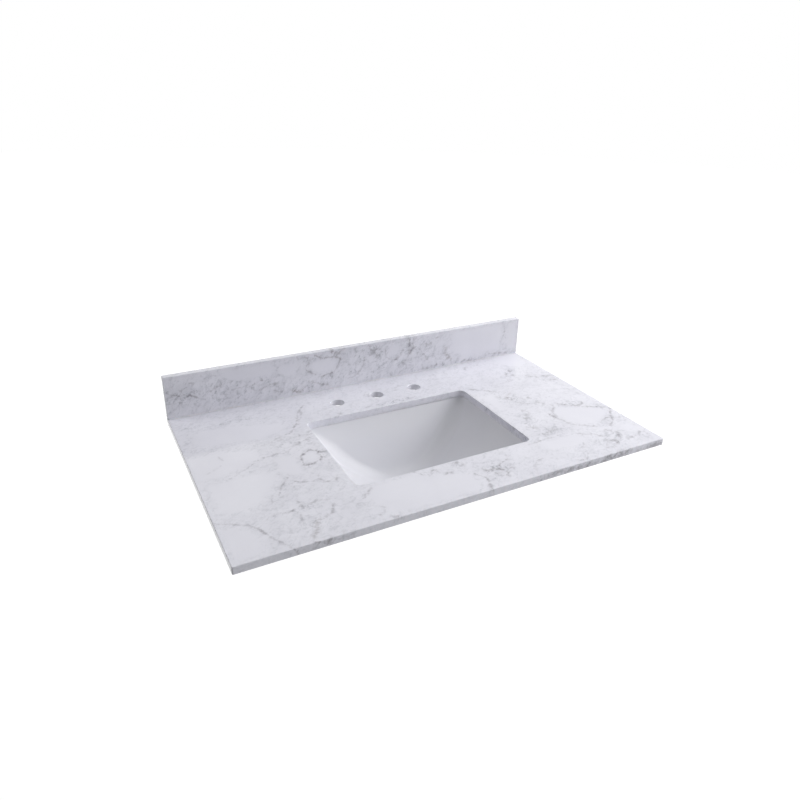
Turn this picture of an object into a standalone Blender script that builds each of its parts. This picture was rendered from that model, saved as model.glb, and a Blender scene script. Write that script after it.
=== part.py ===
"""Undermount vanity sink: a stone top with tap holes and a backsplash, a ceramic basin clipped under its
cut-out, and a waste whose stopper clicks up and down.

The origin is the middle of the stone's lower back edge, where the wall meets the cabinet's top. X runs
along the length, the front is towards -Y, and Z is up, so the basin and its waste hang below zero.
"""

import math

import bmesh
import bpy
import numpy as np
from mathutils import Matrix

# General clearances, in metres
REST_GAP = 0.0003
CUT_OVERRUN = 0.004
MERGE_WITHIN = 0.00001

# Stone top and backsplash
TOP_LENGTH = 0.9398
TOP_DEPTH = 0.5588
TOP_THICKNESS = 0.015
EDGE_EASE = 0.0012
SPLASH_HEIGHT = 0.100
SPLASH_THICKNESS = 0.015
SPLASH_SEALANT_THICKNESS = 0.001
SPLASH_SEALANT_SETBACK = 0.001
CUTOUT_LENGTH = 0.4064
CUTOUT_WIDTH = 0.2794
CUTOUT_CORNER = 0.014
CUTOUT_FROM_FRONT = 0.1215
TAP_HOLE_RADIUS = 0.016
TAP_HOLE_SPACING = 0.1016
TAP_LINE_SHARE = 0.452

# Basin
STONE_OVERHANG = 0.003
BASIN_WALL = 0.009
BASIN_DEPTH = 0.140
RIM_ROUND = 0.002
FLANGE_WIDTH = 0.022
FLANGE_THICKNESS = 0.010
FLANGE_CORNER = 0.030
FLANGE_EDGE_ROUND = 0.0015
BOWL_CORNER = 0.038
BASIN_SEALANT_THICKNESS = 0.0015
BASIN_SEALANT_INSET = 0.006
BOSS_WALL = 0.012
BOSS_FILLET = 0.004
OUTLET_LENGTH = 0.025
LENGTH_TAPER_SHARE = 0.50
WIDTH_TAPER_SHARE = 0.41
LENGTH_POWER, LENGTH_ROOT = 4.2, 1.25
WIDTH_POWER, WIDTH_ROOT = 14.0, 3.5
CORNER_BLEND_SHARE = 1 / 3

# Waste
TUBE_RADIUS = 0.0205
TUBE_WALL = 0.003
TUBE_END_BELOW_NUT = 0.0065
TUBE_EDGE_CHAMFER = 0.0008
OUTLET_CLEARANCE = 0.002
WASTE_FLANGE_THICKNESS = 0.0025
WASTE_FLANGE_BEYOND_CAP = 0.0025
SEAT_CLEARANCE = 0.001
SEAT_DEPTH = 0.003
GASKET_THICKNESS = 0.001
TAPER_SEAL_THICKNESS = 0.0055
TAPER_SEAL_RIM = 0.0025
TAPER_SEAL_NECK = 0.0015
SLIP_WASHER_THICKNESS = 0.0012
BACK_NUT_THICKNESS = 0.008
BACK_NUT_WALL = 0.0075
HUB_WALL = 0.0022
HUB_HEIGHT = 0.006
HUB_BELOW_FLANGE = 0.021
HUB_BAR_THICKNESS = 0.003

# Stopper and its click mechanism
STOPPER_TRAVEL = 0.009
CAP_BOSS_CLEARANCE = 0.001
CAP_BOSS_DEPTH = 0.0046
CAP_PLATE_THICKNESS = 0.0028
CAP_DOME = 0.0018
CAP_SKIRT_WALL = 0.0043
CAP_EDGE_ROUND = 0.0010
CAP_SOCKET_DEPTH = 0.0032
SEAL_WIDTH = 0.008
SEAL_THICKNESS = 0.002
SKIRT_CLEARANCE = 0.001
PLUNGER_RADIUS = 0.0024
PLUNGER_HEAD_RADIUS = 0.005
PLUNGER_HEAD_THICKNESS = 0.0015
PLUNGER_END_SPACE = 0.002
CARTRIDGE_WALL = 0.0028
CARTRIDGE_ABOVE_HUB = 0.008
PLUNGER_HOLD = 0.005
CARTRIDGE_FLOOR = 0.0025
CARTRIDGE_SHOULDER = 0.002
SPRING_WIRE_RADIUS = 0.00045
SPRING_CLEARANCE = 0.0008
SPRING_TURNS = 4

# Clips that hold the basin's flange up to the stone
CLIP_SPREAD_SHARE = 0.70
CLIP_STUD_RADIUS = 0.003
CLIP_STUD_CHAMFER = 0.00075
CLIP_STUD_FROM_FLANGE = 0.014
CLIP_INSERT_WALL = 0.0013
CLIP_INSERT_COVER = 0.0044
CLIP_INSERT_MOUTH = 0.0006
CLIP_WIDTH = 0.022
CLIP_PLATE = 0.002
CLIP_TOE = 0.012
CLIP_HEEL = 0.010
CLIP_BEND = 0.003
CLIP_WASHER_WIDTH = 0.005
CLIP_WASHER_THICKNESS = 0.0016
WING_HUB_WALL = 0.0035
WING_HUB_HEIGHT = 0.008
WING_REACH = 0.0125
WING_RADIUS = 0.0048
WING_DROP = 0.0078
WING_THICKNESS = 0.0022
WING_ROOT_SHARE = 1 / 8
STUD_END_BELOW_NUT = 0.005

# How finely round shapes are divided
CORNER_STEPS = 8
BOWL_STEPS = 17
ROUND_SEGMENTS = 48
SMALL_SEGMENTS = 20
ARC_STEPS = 3
SPRING_POINTS_A_TURN = 9

# Heights and radii that follow from the sizes above
CUTOUT_HALF_LENGTH = CUTOUT_LENGTH / 2
CUTOUT_HALF_WIDTH = CUTOUT_WIDTH / 2
FRONT_Y = -TOP_DEPTH
CUTOUT_BACK_Y = FRONT_Y + CUTOUT_FROM_FRONT + CUTOUT_WIDTH
BASIN_Y = CUTOUT_BACK_Y - CUTOUT_HALF_WIDTH
TAP_Y = CUTOUT_BACK_Y + TAP_LINE_SHARE * (-SPLASH_THICKNESS - CUTOUT_BACK_Y)
SPLASH_Z = TOP_THICKNESS + SPLASH_SEALANT_THICKNESS + 2 * REST_GAP

BOWL_HALF_LENGTH = CUTOUT_HALF_LENGTH + STONE_OVERHANG
BOWL_HALF_WIDTH = CUTOUT_HALF_WIDTH + STONE_OVERHANG
RIM_CORNER = CUTOUT_CORNER + STONE_OVERHANG
RIM_Z = -BASIN_SEALANT_THICKNESS - 2 * REST_GAP
FLANGE_Z = RIM_Z - FLANGE_THICKNESS
FLANGE_HALF_LENGTH = BOWL_HALF_LENGTH + FLANGE_WIDTH
FLANGE_HALF_WIDTH = BOWL_HALF_WIDTH + FLANGE_WIDTH
FLOOR_Z = RIM_Z - BASIN_DEPTH

BORE_RADIUS = TUBE_RADIUS - TUBE_WALL
OUTLET_RADIUS = TUBE_RADIUS + OUTLET_CLEARANCE
CAP_BOSS_RADIUS = BORE_RADIUS - CAP_BOSS_CLEARANCE
SEAL_INNER_RADIUS = CAP_BOSS_RADIUS + REST_GAP
SEAL_OUTER_RADIUS = SEAL_INNER_RADIUS + SEAL_WIDTH
CAP_RADIUS = SEAL_OUTER_RADIUS + REST_GAP + CAP_SKIRT_WALL
WASTE_FLANGE_RADIUS = CAP_RADIUS + WASTE_FLANGE_BEYOND_CAP
SEAT_RADIUS = WASTE_FLANGE_RADIUS + SEAT_CLEARANCE
BOSS_RADIUS = OUTLET_RADIUS + BOSS_WALL

SEAT_Z = FLOOR_Z - SEAT_DEPTH
BOSS_Z = SEAT_Z - OUTLET_LENGTH
WASTE_FLANGE_Z = SEAT_Z + GASKET_THICKNESS + 2 * REST_GAP
WASTE_TOP_Z = WASTE_FLANGE_Z + WASTE_FLANGE_THICKNESS
TAPER_SEAL_Z = BOSS_Z - REST_GAP - TAPER_SEAL_THICKNESS
SLIP_WASHER_Z = TAPER_SEAL_Z - REST_GAP - SLIP_WASHER_THICKNESS
BACK_NUT_Z = SLIP_WASHER_Z - REST_GAP - BACK_NUT_THICKNESS
WASTE_END_Z = BACK_NUT_Z - TUBE_END_BELOW_NUT

SEAL_Z = WASTE_TOP_Z + REST_GAP
CAP_UNDER_Z = SEAL_Z + SEAL_THICKNESS + REST_GAP
CAP_BOSS_Z = CAP_UNDER_Z - CAP_BOSS_DEPTH
PLUNGER_HEAD_Z = CAP_BOSS_Z - REST_GAP - PLUNGER_HEAD_THICKNESS
HUB_TOP_Z = WASTE_FLANGE_Z - HUB_BELOW_FLANGE
HUB_Z = HUB_TOP_Z - HUB_HEIGHT
PLUNGER_BORE_RADIUS = PLUNGER_RADIUS + REST_GAP
CARTRIDGE_RADIUS = PLUNGER_BORE_RADIUS + CARTRIDGE_WALL
CARTRIDGE_TOP_Z = HUB_TOP_Z + CARTRIDGE_ABOVE_HUB
CARTRIDGE_DEPTH = CARTRIDGE_FLOOR + PLUNGER_END_SPACE + STOPPER_TRAVEL + PLUNGER_HOLD
CARTRIDGE_Z = CARTRIDGE_TOP_Z - CARTRIDGE_DEPTH
HUB_BORE_RADIUS = CARTRIDGE_RADIUS + REST_GAP
HUB_RADIUS = HUB_BORE_RADIUS + HUB_WALL

CLIP_INSERT_LENGTH = TOP_THICKNESS - CLIP_INSERT_COVER - REST_GAP
CLIP_INSERT_BORE_RADIUS = CLIP_STUD_RADIUS + REST_GAP
CLIP_INSERT_RADIUS = CLIP_INSERT_BORE_RADIUS + CLIP_INSERT_WALL
CLIP_HOLE_RADIUS = CLIP_STUD_RADIUS + REST_GAP
CLIP_PLATE_TOP_Z = FLANGE_Z - REST_GAP
CLIP_PLATE_Z = CLIP_PLATE_TOP_Z - CLIP_PLATE
CLIP_WASHER_Z = CLIP_PLATE_Z - REST_GAP - CLIP_WASHER_THICKNESS
WING_NUT_TOP_Z = CLIP_WASHER_Z - REST_GAP
WING_NUT_Z = WING_NUT_TOP_Z - WING_HUB_HEIGHT
STUD_END_Z = WING_NUT_Z - STUD_END_BELOW_NUT

FINISHES = {
    "stone": ((0.80, 0.80, 0.83), 0.12, 0.0),
    "ceramic": ((0.86, 0.86, 0.87), 0.08, 0.0),
    "sealant": ((0.80, 0.80, 0.80), 0.45, 0.0),
    "brass": ((0.72, 0.53, 0.25), 0.30, 1.0),
    "zinc_steel": ((0.62, 0.63, 0.65), 0.35, 1.0),
    "chrome": ((0.80, 0.81, 0.83), 0.08, 1.0),
    "rubber": ((0.04, 0.04, 0.04), 0.70, 0.0),
    "nylon": ((0.82, 0.80, 0.74), 0.50, 0.0),
    "spring_steel": ((0.55, 0.56, 0.58), 0.30, 1.0),
}


def clear_scene():
    for obj in list(bpy.data.objects):
        bpy.data.objects.remove(obj, do_unlink=True)


def make_collection(name):
    collection = bpy.data.collections.new(name)
    bpy.context.scene.collection.children.link(collection)
    return collection


def make_finishes():
    materials = {}
    for name, (colour, roughness, metallic) in FINISHES.items():
        material = bpy.data.materials.new(name)
        material.use_nodes = True
        shader = material.node_tree.nodes["Principled BSDF"]
        shader.inputs["Base Color"].default_value = (*colour, 1.0)
        shader.inputs["Roughness"].default_value = roughness
        shader.inputs["Metallic"].default_value = metallic
        materials[name] = material
    return materials


def place(obj, parent=None, finish=None):
    """Puts an object among the parts with its finish, or among the cutters when it has none."""
    if finish:
        parts.objects.link(obj)
        obj.data.materials.append(finishes[finish])
    else:
        cutters.objects.link(obj)
        obj.hide_render = True
        obj.display_type = "WIRE"
    obj.parent = parent
    return obj


def from_bmesh(name, shape, parent=None, finish=None, smooth=False):
    mesh = bpy.data.meshes.new(name)
    shape.to_mesh(mesh)
    shape.free()
    if smooth:
        mesh.shade_smooth()
        mesh.set_sharp_from_angle(angle=math.radians(35))
    return place(bpy.data.objects.new(name, mesh), parent, finish)


def box(name, low, high, parent=None, finish=None, eased=None, ease=0):
    """A block between two corners. eased picks the edges, by their middle point, that get a round of that size."""
    low, high = np.array(low), np.array(high)
    shape = bmesh.new()
    bmesh.ops.create_cube(shape, size=1)
    bmesh.ops.scale(shape, vec=high - low, verts=shape.verts)
    bmesh.ops.translate(shape, vec=(low + high) / 2, verts=shape.verts)
    if eased:
        edges = [e for e in shape.edges if eased((e.verts[0].co + e.verts[1].co) / 2)]
        bmesh.ops.bevel(shape, geom=edges, offset=ease, segments=2, profile=0.5, affect="EDGES")
    return from_bmesh(name, shape, parent, finish)


def turned(name, profile, segments, parent=None, finish=None, closed=True):
    """A profile of radius and height swept round Z. Its outer side runs from the top down; one that ends
    on the axis at both ends isn't closed."""
    mesh = bpy.data.meshes.new(name)
    count = len(profile)
    edges = [(i, (i + 1) % count) for i in range(count if closed else count - 1)]
    mesh.from_pydata([(radius, 0, z) for radius, z in profile], edges, [])
    obj = place(bpy.data.objects.new(name, mesh), parent, finish)
    screw = obj.modifiers.new("Turn", "SCREW")
    screw.axis = "Z"
    screw.steps = screw.render_steps = segments
    screw.use_merge_vertices = True
    screw.merge_threshold = MERGE_WITHIN
    screw.use_smooth_shade = True
    return obj


def cylinder_cutter(name, radius, bottom, top, segments, parent=None):
    profile = [(0, top), (radius, top), (radius, bottom), (0, bottom)]
    return turned(name, profile, segments, parent, closed=False)


def rounded_outline(half_x, half_y, corner, z):
    """A ring of points: a rectangle with round corners, or a circle where the corner is the half side."""
    quarter = np.linspace(0, math.pi / 2, CORNER_STEPS + 1)
    stretches = []
    for turn, (sign_x, sign_y) in enumerate(((1, 1), (-1, 1), (-1, -1), (1, -1))):
        angle = quarter + turn * math.pi / 2
        x = sign_x * (half_x - corner) + corner * np.cos(angle)
        y = sign_y * (half_y - corner) + corner * np.sin(angle)
        stretches.append(np.column_stack([x, y, np.full_like(x, z)]))
    return np.concatenate(stretches)


def loft(name, rings, parent=None, finish=None, closed=False):
    """A skin through the rings. It is capped at both ends, or closed from the last ring to the first."""
    shape = bmesh.new()
    skins = [[shape.verts.new(point) for point in ring] for ring in rings]
    pairs = list(zip(skins, skins[1:] + skins[:1] if closed else skins[1:]))
    for lower, upper in pairs:
        for i in range(len(lower)):
            j = (i + 1) % len(lower)
            shape.faces.new((lower[i], lower[j], upper[j], upper[i]))
    if not closed:
        shape.faces.new(skins[0][::-1])
        shape.faces.new(skins[-1])
    bmesh.ops.remove_doubles(shape, verts=shape.verts, dist=MERGE_WITHIN)
    bmesh.ops.recalc_face_normals(shape, faces=shape.faces)
    return from_bmesh(name, shape, parent, finish, smooth=bool(finish))


def outline_plate(name, loops, thickness, parent=None, finish=None):
    """A flat plate centred on local Z, from closed outlines in local X and Y. Inner outlines are holes."""
    curve = bpy.data.curves.new(name, "CURVE")
    curve.dimensions = "2D"
    curve.fill_mode = "BOTH"
    curve.extrude = thickness / 2
    for loop in loops:
        spline = curve.splines.new("POLY")
        spline.points.add(len(loop) - 1)
        spline.points.foreach_set("co", [n for x, y in loop for n in (x, y, 0, 1)])
        spline.use_cyclic_u = True
    flat = bpy.data.objects.new(name + "_outline", curve)
    cutters.objects.link(flat)
    shape = bmesh.new()
    graph = bpy.context.evaluated_depsgraph_get()
    mesh = bpy.data.meshes.new_from_object(flat.evaluated_get(graph))
    shape.from_mesh(mesh)
    bmesh.ops.remove_doubles(shape, verts=shape.verts, dist=MERGE_WITHIN)
    bmesh.ops.recalc_face_normals(shape, faces=shape.faces)
    bpy.data.meshes.remove(mesh)
    bpy.data.objects.remove(flat)
    return from_bmesh(name, shape, parent, finish)


def boolean(obj, operation, other):
    modifier = obj.modifiers.new(operation.title() + " " + other.name, "BOOLEAN")
    modifier.operation = operation
    modifier.object = other
    modifier.solver = "EXACT"


def arc(centre_x, centre_y, radius, start, end, steps):
    """Points on an arc, its angles in degrees."""
    angles = np.radians(np.linspace(start, end, steps + 1))
    return [(centre_x + radius * math.cos(a), centre_y + radius * math.sin(a)) for a in angles]


def make_anchor(name, location, parent=None, turn=0.0):
    anchor = bpy.data.objects.new(name, None)
    parts.objects.link(anchor)
    anchor.parent = parent
    anchor.location = location
    anchor.rotation_euler = (0, 0, turn)
    return anchor


def clip_places():
    """Each clip's name, its stud's place, and the turn that points it at the basin."""
    spread = CLIP_SPREAD_SHARE * FLANGE_HALF_LENGTH
    reach = FLANGE_HALF_WIDTH + CLIP_STUD_FROM_FLANGE
    return [
        (f"{end}_{side}", (sign_x * spread, BASIN_Y + sign_y * reach, 0), turn)
        for end, sign_y, turn in (("front", -1, 0.0), ("back", 1, math.pi))
        for side, sign_x in (("left", -1), ("right", 1))
    ]


def cutout_cutter():
    """The cut-out's prism, flared at the stone's upper face so that the cut keeps a small round."""
    rings = [rounded_outline(CUTOUT_HALF_LENGTH, CUTOUT_HALF_WIDTH, CUTOUT_CORNER, -CUT_OVERRUN)]
    for angle in np.linspace(0, math.pi / 2, ARC_STEPS + 1):
        out = EDGE_EASE * (1 - math.cos(angle))
        z = TOP_THICKNESS - EDGE_EASE * (1 - math.sin(angle))
        rings.append(
            rounded_outline(CUTOUT_HALF_LENGTH + out, CUTOUT_HALF_WIDTH + out, CUTOUT_CORNER + out, z)
        )
    top = rings[-1].copy()
    top[:, 2] += CUT_OVERRUN
    cutter = loft("cutout_cutter", rings + [top])
    cutter.location.y = BASIN_Y
    return cutter


def tap_hole_cutter(name, x):
    """A round hole with the same small round at its upper edge."""
    rounding = [
        (
            TAP_HOLE_RADIUS + EDGE_EASE * (1 - math.cos(angle)),
            TOP_THICKNESS - EDGE_EASE * (1 - math.sin(angle)),
        )
        for angle in np.linspace(math.pi / 2, 0, ARC_STEPS + 1)
    ]
    over = TOP_THICKNESS + CUT_OVERRUN
    profile = [(0, over), (rounding[0][0], over)] + rounding
    profile += [(TAP_HOLE_RADIUS, -CUT_OVERRUN), (0, -CUT_OVERRUN)]
    cutter = turned(name, profile, ROUND_SEGMENTS, closed=False)
    cutter.location = (x, TAP_Y, 0)
    return cutter


def make_stone_top():
    half = TOP_LENGTH / 2

    def eased(middle):
        upper = middle.z > TOP_THICKNESS - EDGE_EASE
        return upper and (abs(middle.x) > half - EDGE_EASE or middle.y < FRONT_Y + EDGE_EASE)

    low, high = (-half, FRONT_Y, 0), (half, 0, TOP_THICKNESS)
    top = box("stone_top", low, high, finish="stone", eased=eased, ease=EDGE_EASE)
    boolean(top, "DIFFERENCE", cutout_cutter())
    for i in (-1, 0, 1):
        boolean(top, "DIFFERENCE", tap_hole_cutter(f"tap_hole_cutter_{i + 2}", i * TAP_HOLE_SPACING))
    for place_name, where, _ in clip_places():
        radius = CLIP_INSERT_RADIUS + REST_GAP
        depth = CLIP_INSERT_LENGTH + REST_GAP
        name = f"insert_hole_cutter_{place_name}"
        hole = cylinder_cutter(name, radius, -CUT_OVERRUN, depth, SMALL_SEGMENTS)
        hole.location = where
        boolean(top, "DIFFERENCE", hole)


def make_backsplash():
    half = TOP_LENGTH / 2
    top = SPLASH_Z + SPLASH_HEIGHT

    def eased(middle):
        outer = abs(middle.x) > half - EDGE_EASE or middle.z > top - EDGE_EASE
        return outer and middle.y < -SPLASH_THICKNESS + EDGE_EASE

    low, high = (-half, -SPLASH_THICKNESS, SPLASH_Z), (half, 0, top)
    box("backsplash", low, high, finish="stone", eased=eased, ease=EDGE_EASE)
    box(
        "backsplash_sealant",
        (
            -half + SPLASH_SEALANT_SETBACK,
            -SPLASH_THICKNESS + SPLASH_SEALANT_SETBACK,
            TOP_THICKNESS + REST_GAP,
        ),
        (half - SPLASH_SEALANT_SETBACK, -SPLASH_SEALANT_SETBACK, SPLASH_Z - REST_GAP),
        finish="sealant",
    )


def bowl_section(share, floor_radius, wall):
    """The bowl's outline at a share of its depth, grown by a wall. Its ends slope and curve in early, its
    front and back stay nearly straight and turn in low down, and it ends as the circle round the outlet."""
    length_in = (1 - share**LENGTH_POWER) ** (1 / LENGTH_ROOT)
    width_in = (1 - share**WIDTH_POWER) ** (1 / WIDTH_ROOT)
    straight_x = (BOWL_HALF_LENGTH + wall) * (1 - LENGTH_TAPER_SHARE * share)
    straight_y = (BOWL_HALF_WIDTH + wall) * (1 - WIDTH_TAPER_SHARE * share)
    half_x = floor_radius + (straight_x - floor_radius) * length_in
    half_y = floor_radius + (straight_y - floor_radius) * width_in
    low_corner = BOWL_CORNER + (floor_radius - BOWL_CORNER) * share**2
    corner = RIM_CORNER + wall + (low_corner - RIM_CORNER - wall) * min(1, share / CORNER_BLEND_SHARE)
    z = RIM_Z - share * (BASIN_DEPTH + wall)
    return rounded_outline(half_x, half_y, min(corner, half_x, half_y), z)


def bowl_sections(first_share, floor_radius, wall):
    """Sections from first_share to the floor, closer together near it, where the bowl turns in."""
    steps = np.linspace(0, 1, BOWL_STEPS)
    shares = first_share + (1 - first_share) * (1 - (1 - steps) ** 2)
    return [bowl_section(share, floor_radius, wall) for share in shares]


def flange_outline(inset, z):
    return rounded_outline(FLANGE_HALF_LENGTH - inset, FLANGE_HALF_WIDTH - inset, FLANGE_CORNER - inset, z)


def make_basin():
    """One closed skin: up the outlet and the bowl's inside, over the rim, round the flange and down the
    outside to the boss."""
    anchor = make_anchor("basin_centre", (0, BASIN_Y, 0))
    rings = [
        rounded_outline(OUTLET_RADIUS, OUTLET_RADIUS, OUTLET_RADIUS, BOSS_Z),
        rounded_outline(OUTLET_RADIUS, OUTLET_RADIUS, OUTLET_RADIUS, SEAT_Z),
        rounded_outline(SEAT_RADIUS, SEAT_RADIUS, SEAT_RADIUS, SEAT_Z),
    ]
    rings += bowl_sections(RIM_ROUND / BASIN_DEPTH, SEAT_RADIUS, 0)[::-1]
    for angle in np.linspace(0, math.pi / 2, ARC_STEPS + 1)[1:]:
        out = RIM_ROUND * (1 - math.cos(angle))
        z = RIM_Z - RIM_ROUND * (1 - math.sin(angle))
        rings.append(rounded_outline(BOWL_HALF_LENGTH + out, BOWL_HALF_WIDTH + out, RIM_CORNER + out, z))
    rings += [
        flange_outline(FLANGE_EDGE_ROUND, RIM_Z),
        flange_outline(0, RIM_Z - FLANGE_EDGE_ROUND),
        flange_outline(0, FLANGE_Z + FLANGE_EDGE_ROUND),
        flange_outline(FLANGE_EDGE_ROUND, FLANGE_Z),
    ]
    rings += bowl_sections(FLANGE_THICKNESS / (BASIN_DEPTH + BASIN_WALL), BOSS_RADIUS + BOSS_FILLET, BASIN_WALL)
    rings += [
        rounded_outline(BOSS_RADIUS, BOSS_RADIUS, BOSS_RADIUS, FLOOR_Z - BASIN_WALL - BOSS_FILLET),
        rounded_outline(BOSS_RADIUS, BOSS_RADIUS, BOSS_RADIUS, BOSS_Z + EDGE_EASE),
        rounded_outline(BOSS_RADIUS - EDGE_EASE, BOSS_RADIUS - EDGE_EASE, BOSS_RADIUS - EDGE_EASE, BOSS_Z),
    ]
    loft("basin", rings, anchor, "ceramic", closed=True)

    def bead(beyond, z):
        return rounded_outline(BOWL_HALF_LENGTH + beyond, BOWL_HALF_WIDTH + beyond, RIM_CORNER + beyond, z)

    inner, outer = RIM_ROUND, FLANGE_WIDTH - BASIN_SEALANT_INSET
    low, high = RIM_Z + REST_GAP, -REST_GAP
    bead_rings = [bead(inner, low), bead(inner, high), bead(outer, high), bead(outer, low)]
    loft("basin_sealant", bead_rings, anchor, "sealant", closed=True)
    return anchor


def ring_profile(inner, outer, bottom, top):
    return [(outer, top), (outer, bottom), (inner, bottom), (inner, top)]


def make_waste(anchor):
    """The flanged tube through the outlet, with the cross bar and hub that hold the click cartridge."""
    chamfer = TUBE_EDGE_CHAMFER
    lead_in = BORE_RADIUS + chamfer
    body = turned(
        "waste_body",
        [
            (WASTE_FLANGE_RADIUS - chamfer, WASTE_TOP_Z),
            (WASTE_FLANGE_RADIUS, WASTE_TOP_Z - chamfer),
            (WASTE_FLANGE_RADIUS, WASTE_FLANGE_Z),
            (TUBE_RADIUS, WASTE_FLANGE_Z),
            (TUBE_RADIUS, WASTE_END_Z + chamfer),
            (TUBE_RADIUS - chamfer, WASTE_END_Z),
            (BORE_RADIUS, WASTE_END_Z),
            (BORE_RADIUS, WASTE_TOP_Z - chamfer),
            (lead_in, WASTE_TOP_Z),
        ],
        ROUND_SEGMENTS,
        anchor,
        "chrome",
    )
    reach = BORE_RADIUS + TUBE_WALL / 2
    half_bar = HUB_BAR_THICKNESS / 2
    bar = box("hub_bar", (-reach, -half_bar, HUB_Z), (reach, half_bar, HUB_TOP_Z), anchor)
    hub = cylinder_cutter("hub", HUB_RADIUS, HUB_Z, HUB_TOP_Z, SMALL_SEGMENTS, anchor)
    hub_bore = cylinder_cutter(
        "hub_bore_cutter", HUB_BORE_RADIUS, HUB_Z - CUT_OVERRUN, HUB_TOP_Z + CUT_OVERRUN, SMALL_SEGMENTS, anchor
    )
    boolean(body, "UNION", bar)
    boolean(body, "UNION", hub)
    boolean(body, "DIFFERENCE", hub_bore)

    gasket_z = SEAT_Z + REST_GAP
    turned(
        "waste_flange_gasket",
        ring_profile(TUBE_RADIUS + REST_GAP, WASTE_FLANGE_RADIUS, gasket_z, gasket_z + GASKET_THICKNESS),
        ROUND_SEGMENTS,
        anchor,
        "rubber",
    )
    around_tube = TUBE_RADIUS + REST_GAP
    neck = OUTLET_RADIUS - REST_GAP
    seal_top = BOSS_Z - REST_GAP
    seal_outer = BOSS_RADIUS - SEAT_CLEARANCE
    turned(
        "waste_taper_seal",
        [
            (neck, BOSS_Z + TAPER_SEAL_NECK),
            (neck, seal_top),
            (OUTLET_RADIUS + SEAT_CLEARANCE, seal_top),
            (seal_outer, TAPER_SEAL_Z + TAPER_SEAL_RIM),
            (seal_outer, TAPER_SEAL_Z),
            (around_tube, TAPER_SEAL_Z),
            (around_tube, BOSS_Z + TAPER_SEAL_NECK),
        ],
        ROUND_SEGMENTS,
        anchor,
        "rubber",
    )
    washer_top = SLIP_WASHER_Z + SLIP_WASHER_THICKNESS
    turned(
        "waste_slip_washer",
        ring_profile(around_tube, seal_outer, SLIP_WASHER_Z, washer_top),
        ROUND_SEGMENTS,
        anchor,
        "nylon",
    )
    hexagon = arc(0, 0, (around_tube + BACK_NUT_WALL) / math.cos(math.pi / 6), 0, 300, 5)
    bore = arc(0, 0, around_tube, 0, 360, ROUND_SEGMENTS)[:-1]
    nut = outline_plate("waste_back_nut", [hexagon, bore], BACK_NUT_THICKNESS, anchor, "brass")
    nut.location.z = BACK_NUT_Z + BACK_NUT_THICKNESS / 2


def make_cartridge(anchor):
    """The click cartridge in the hub, and the spring that stands on it."""
    shoulder_top = HUB_TOP_Z + REST_GAP + CARTRIDGE_SHOULDER
    turned(
        "click_cartridge",
        [
            (0, CARTRIDGE_Z + CARTRIDGE_FLOOR),
            (PLUNGER_BORE_RADIUS, CARTRIDGE_Z + CARTRIDGE_FLOOR),
            (PLUNGER_BORE_RADIUS, CARTRIDGE_TOP_Z),
            (CARTRIDGE_RADIUS, CARTRIDGE_TOP_Z),
            (CARTRIDGE_RADIUS, shoulder_top),
            (HUB_RADIUS, shoulder_top),
            (HUB_RADIUS, HUB_TOP_Z + REST_GAP),
            (CARTRIDGE_RADIUS, HUB_TOP_Z + REST_GAP),
            (CARTRIDGE_RADIUS, CARTRIDGE_Z),
            (0, CARTRIDGE_Z),
        ],
        SMALL_SEGMENTS,
        anchor,
        "brass",
        closed=False,
    )
    low = CARTRIDGE_TOP_Z + REST_GAP + SPRING_WIRE_RADIUS
    high = PLUNGER_HEAD_Z - REST_GAP - SPRING_WIRE_RADIUS
    radius = PLUNGER_RADIUS + SPRING_CLEARANCE + SPRING_WIRE_RADIUS
    count = SPRING_TURNS * SPRING_POINTS_A_TURN + 1
    share = np.linspace(0, 1, count)
    angle = share * SPRING_TURNS * 2 * math.pi
    points = np.column_stack([radius * np.cos(angle), radius * np.sin(angle), low + share * (high - low)])
    print(f"click_spring's least gap to itself: {spring_self_gap(points) * 1000:.2f} mm")
    curve = bpy.data.curves.new("click_spring", "CURVE")
    curve.dimensions = "3D"
    curve.bevel_depth = SPRING_WIRE_RADIUS
    curve.bevel_resolution = 1
    curve.use_fill_caps = True
    spline = curve.splines.new("POLY")
    spline.points.add(count - 1)
    spline.points.foreach_set("co", np.column_stack([points, np.ones(count)]).ravel())
    place(bpy.data.objects.new("click_spring", curve), anchor, "spring_steel")


def spring_self_gap(points):
    """Least distance between stretches of the wire that lie over half a turn apart, less its thickness."""
    apart = np.linalg.norm(points[:, None] - points[None], axis=2)
    order = np.arange(len(points))
    far_along = np.abs(order[:, None] - order[None]) > SPRING_POINTS_A_TURN / 2
    return apart[far_along].min() - 2 * SPRING_WIRE_RADIUS


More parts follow.
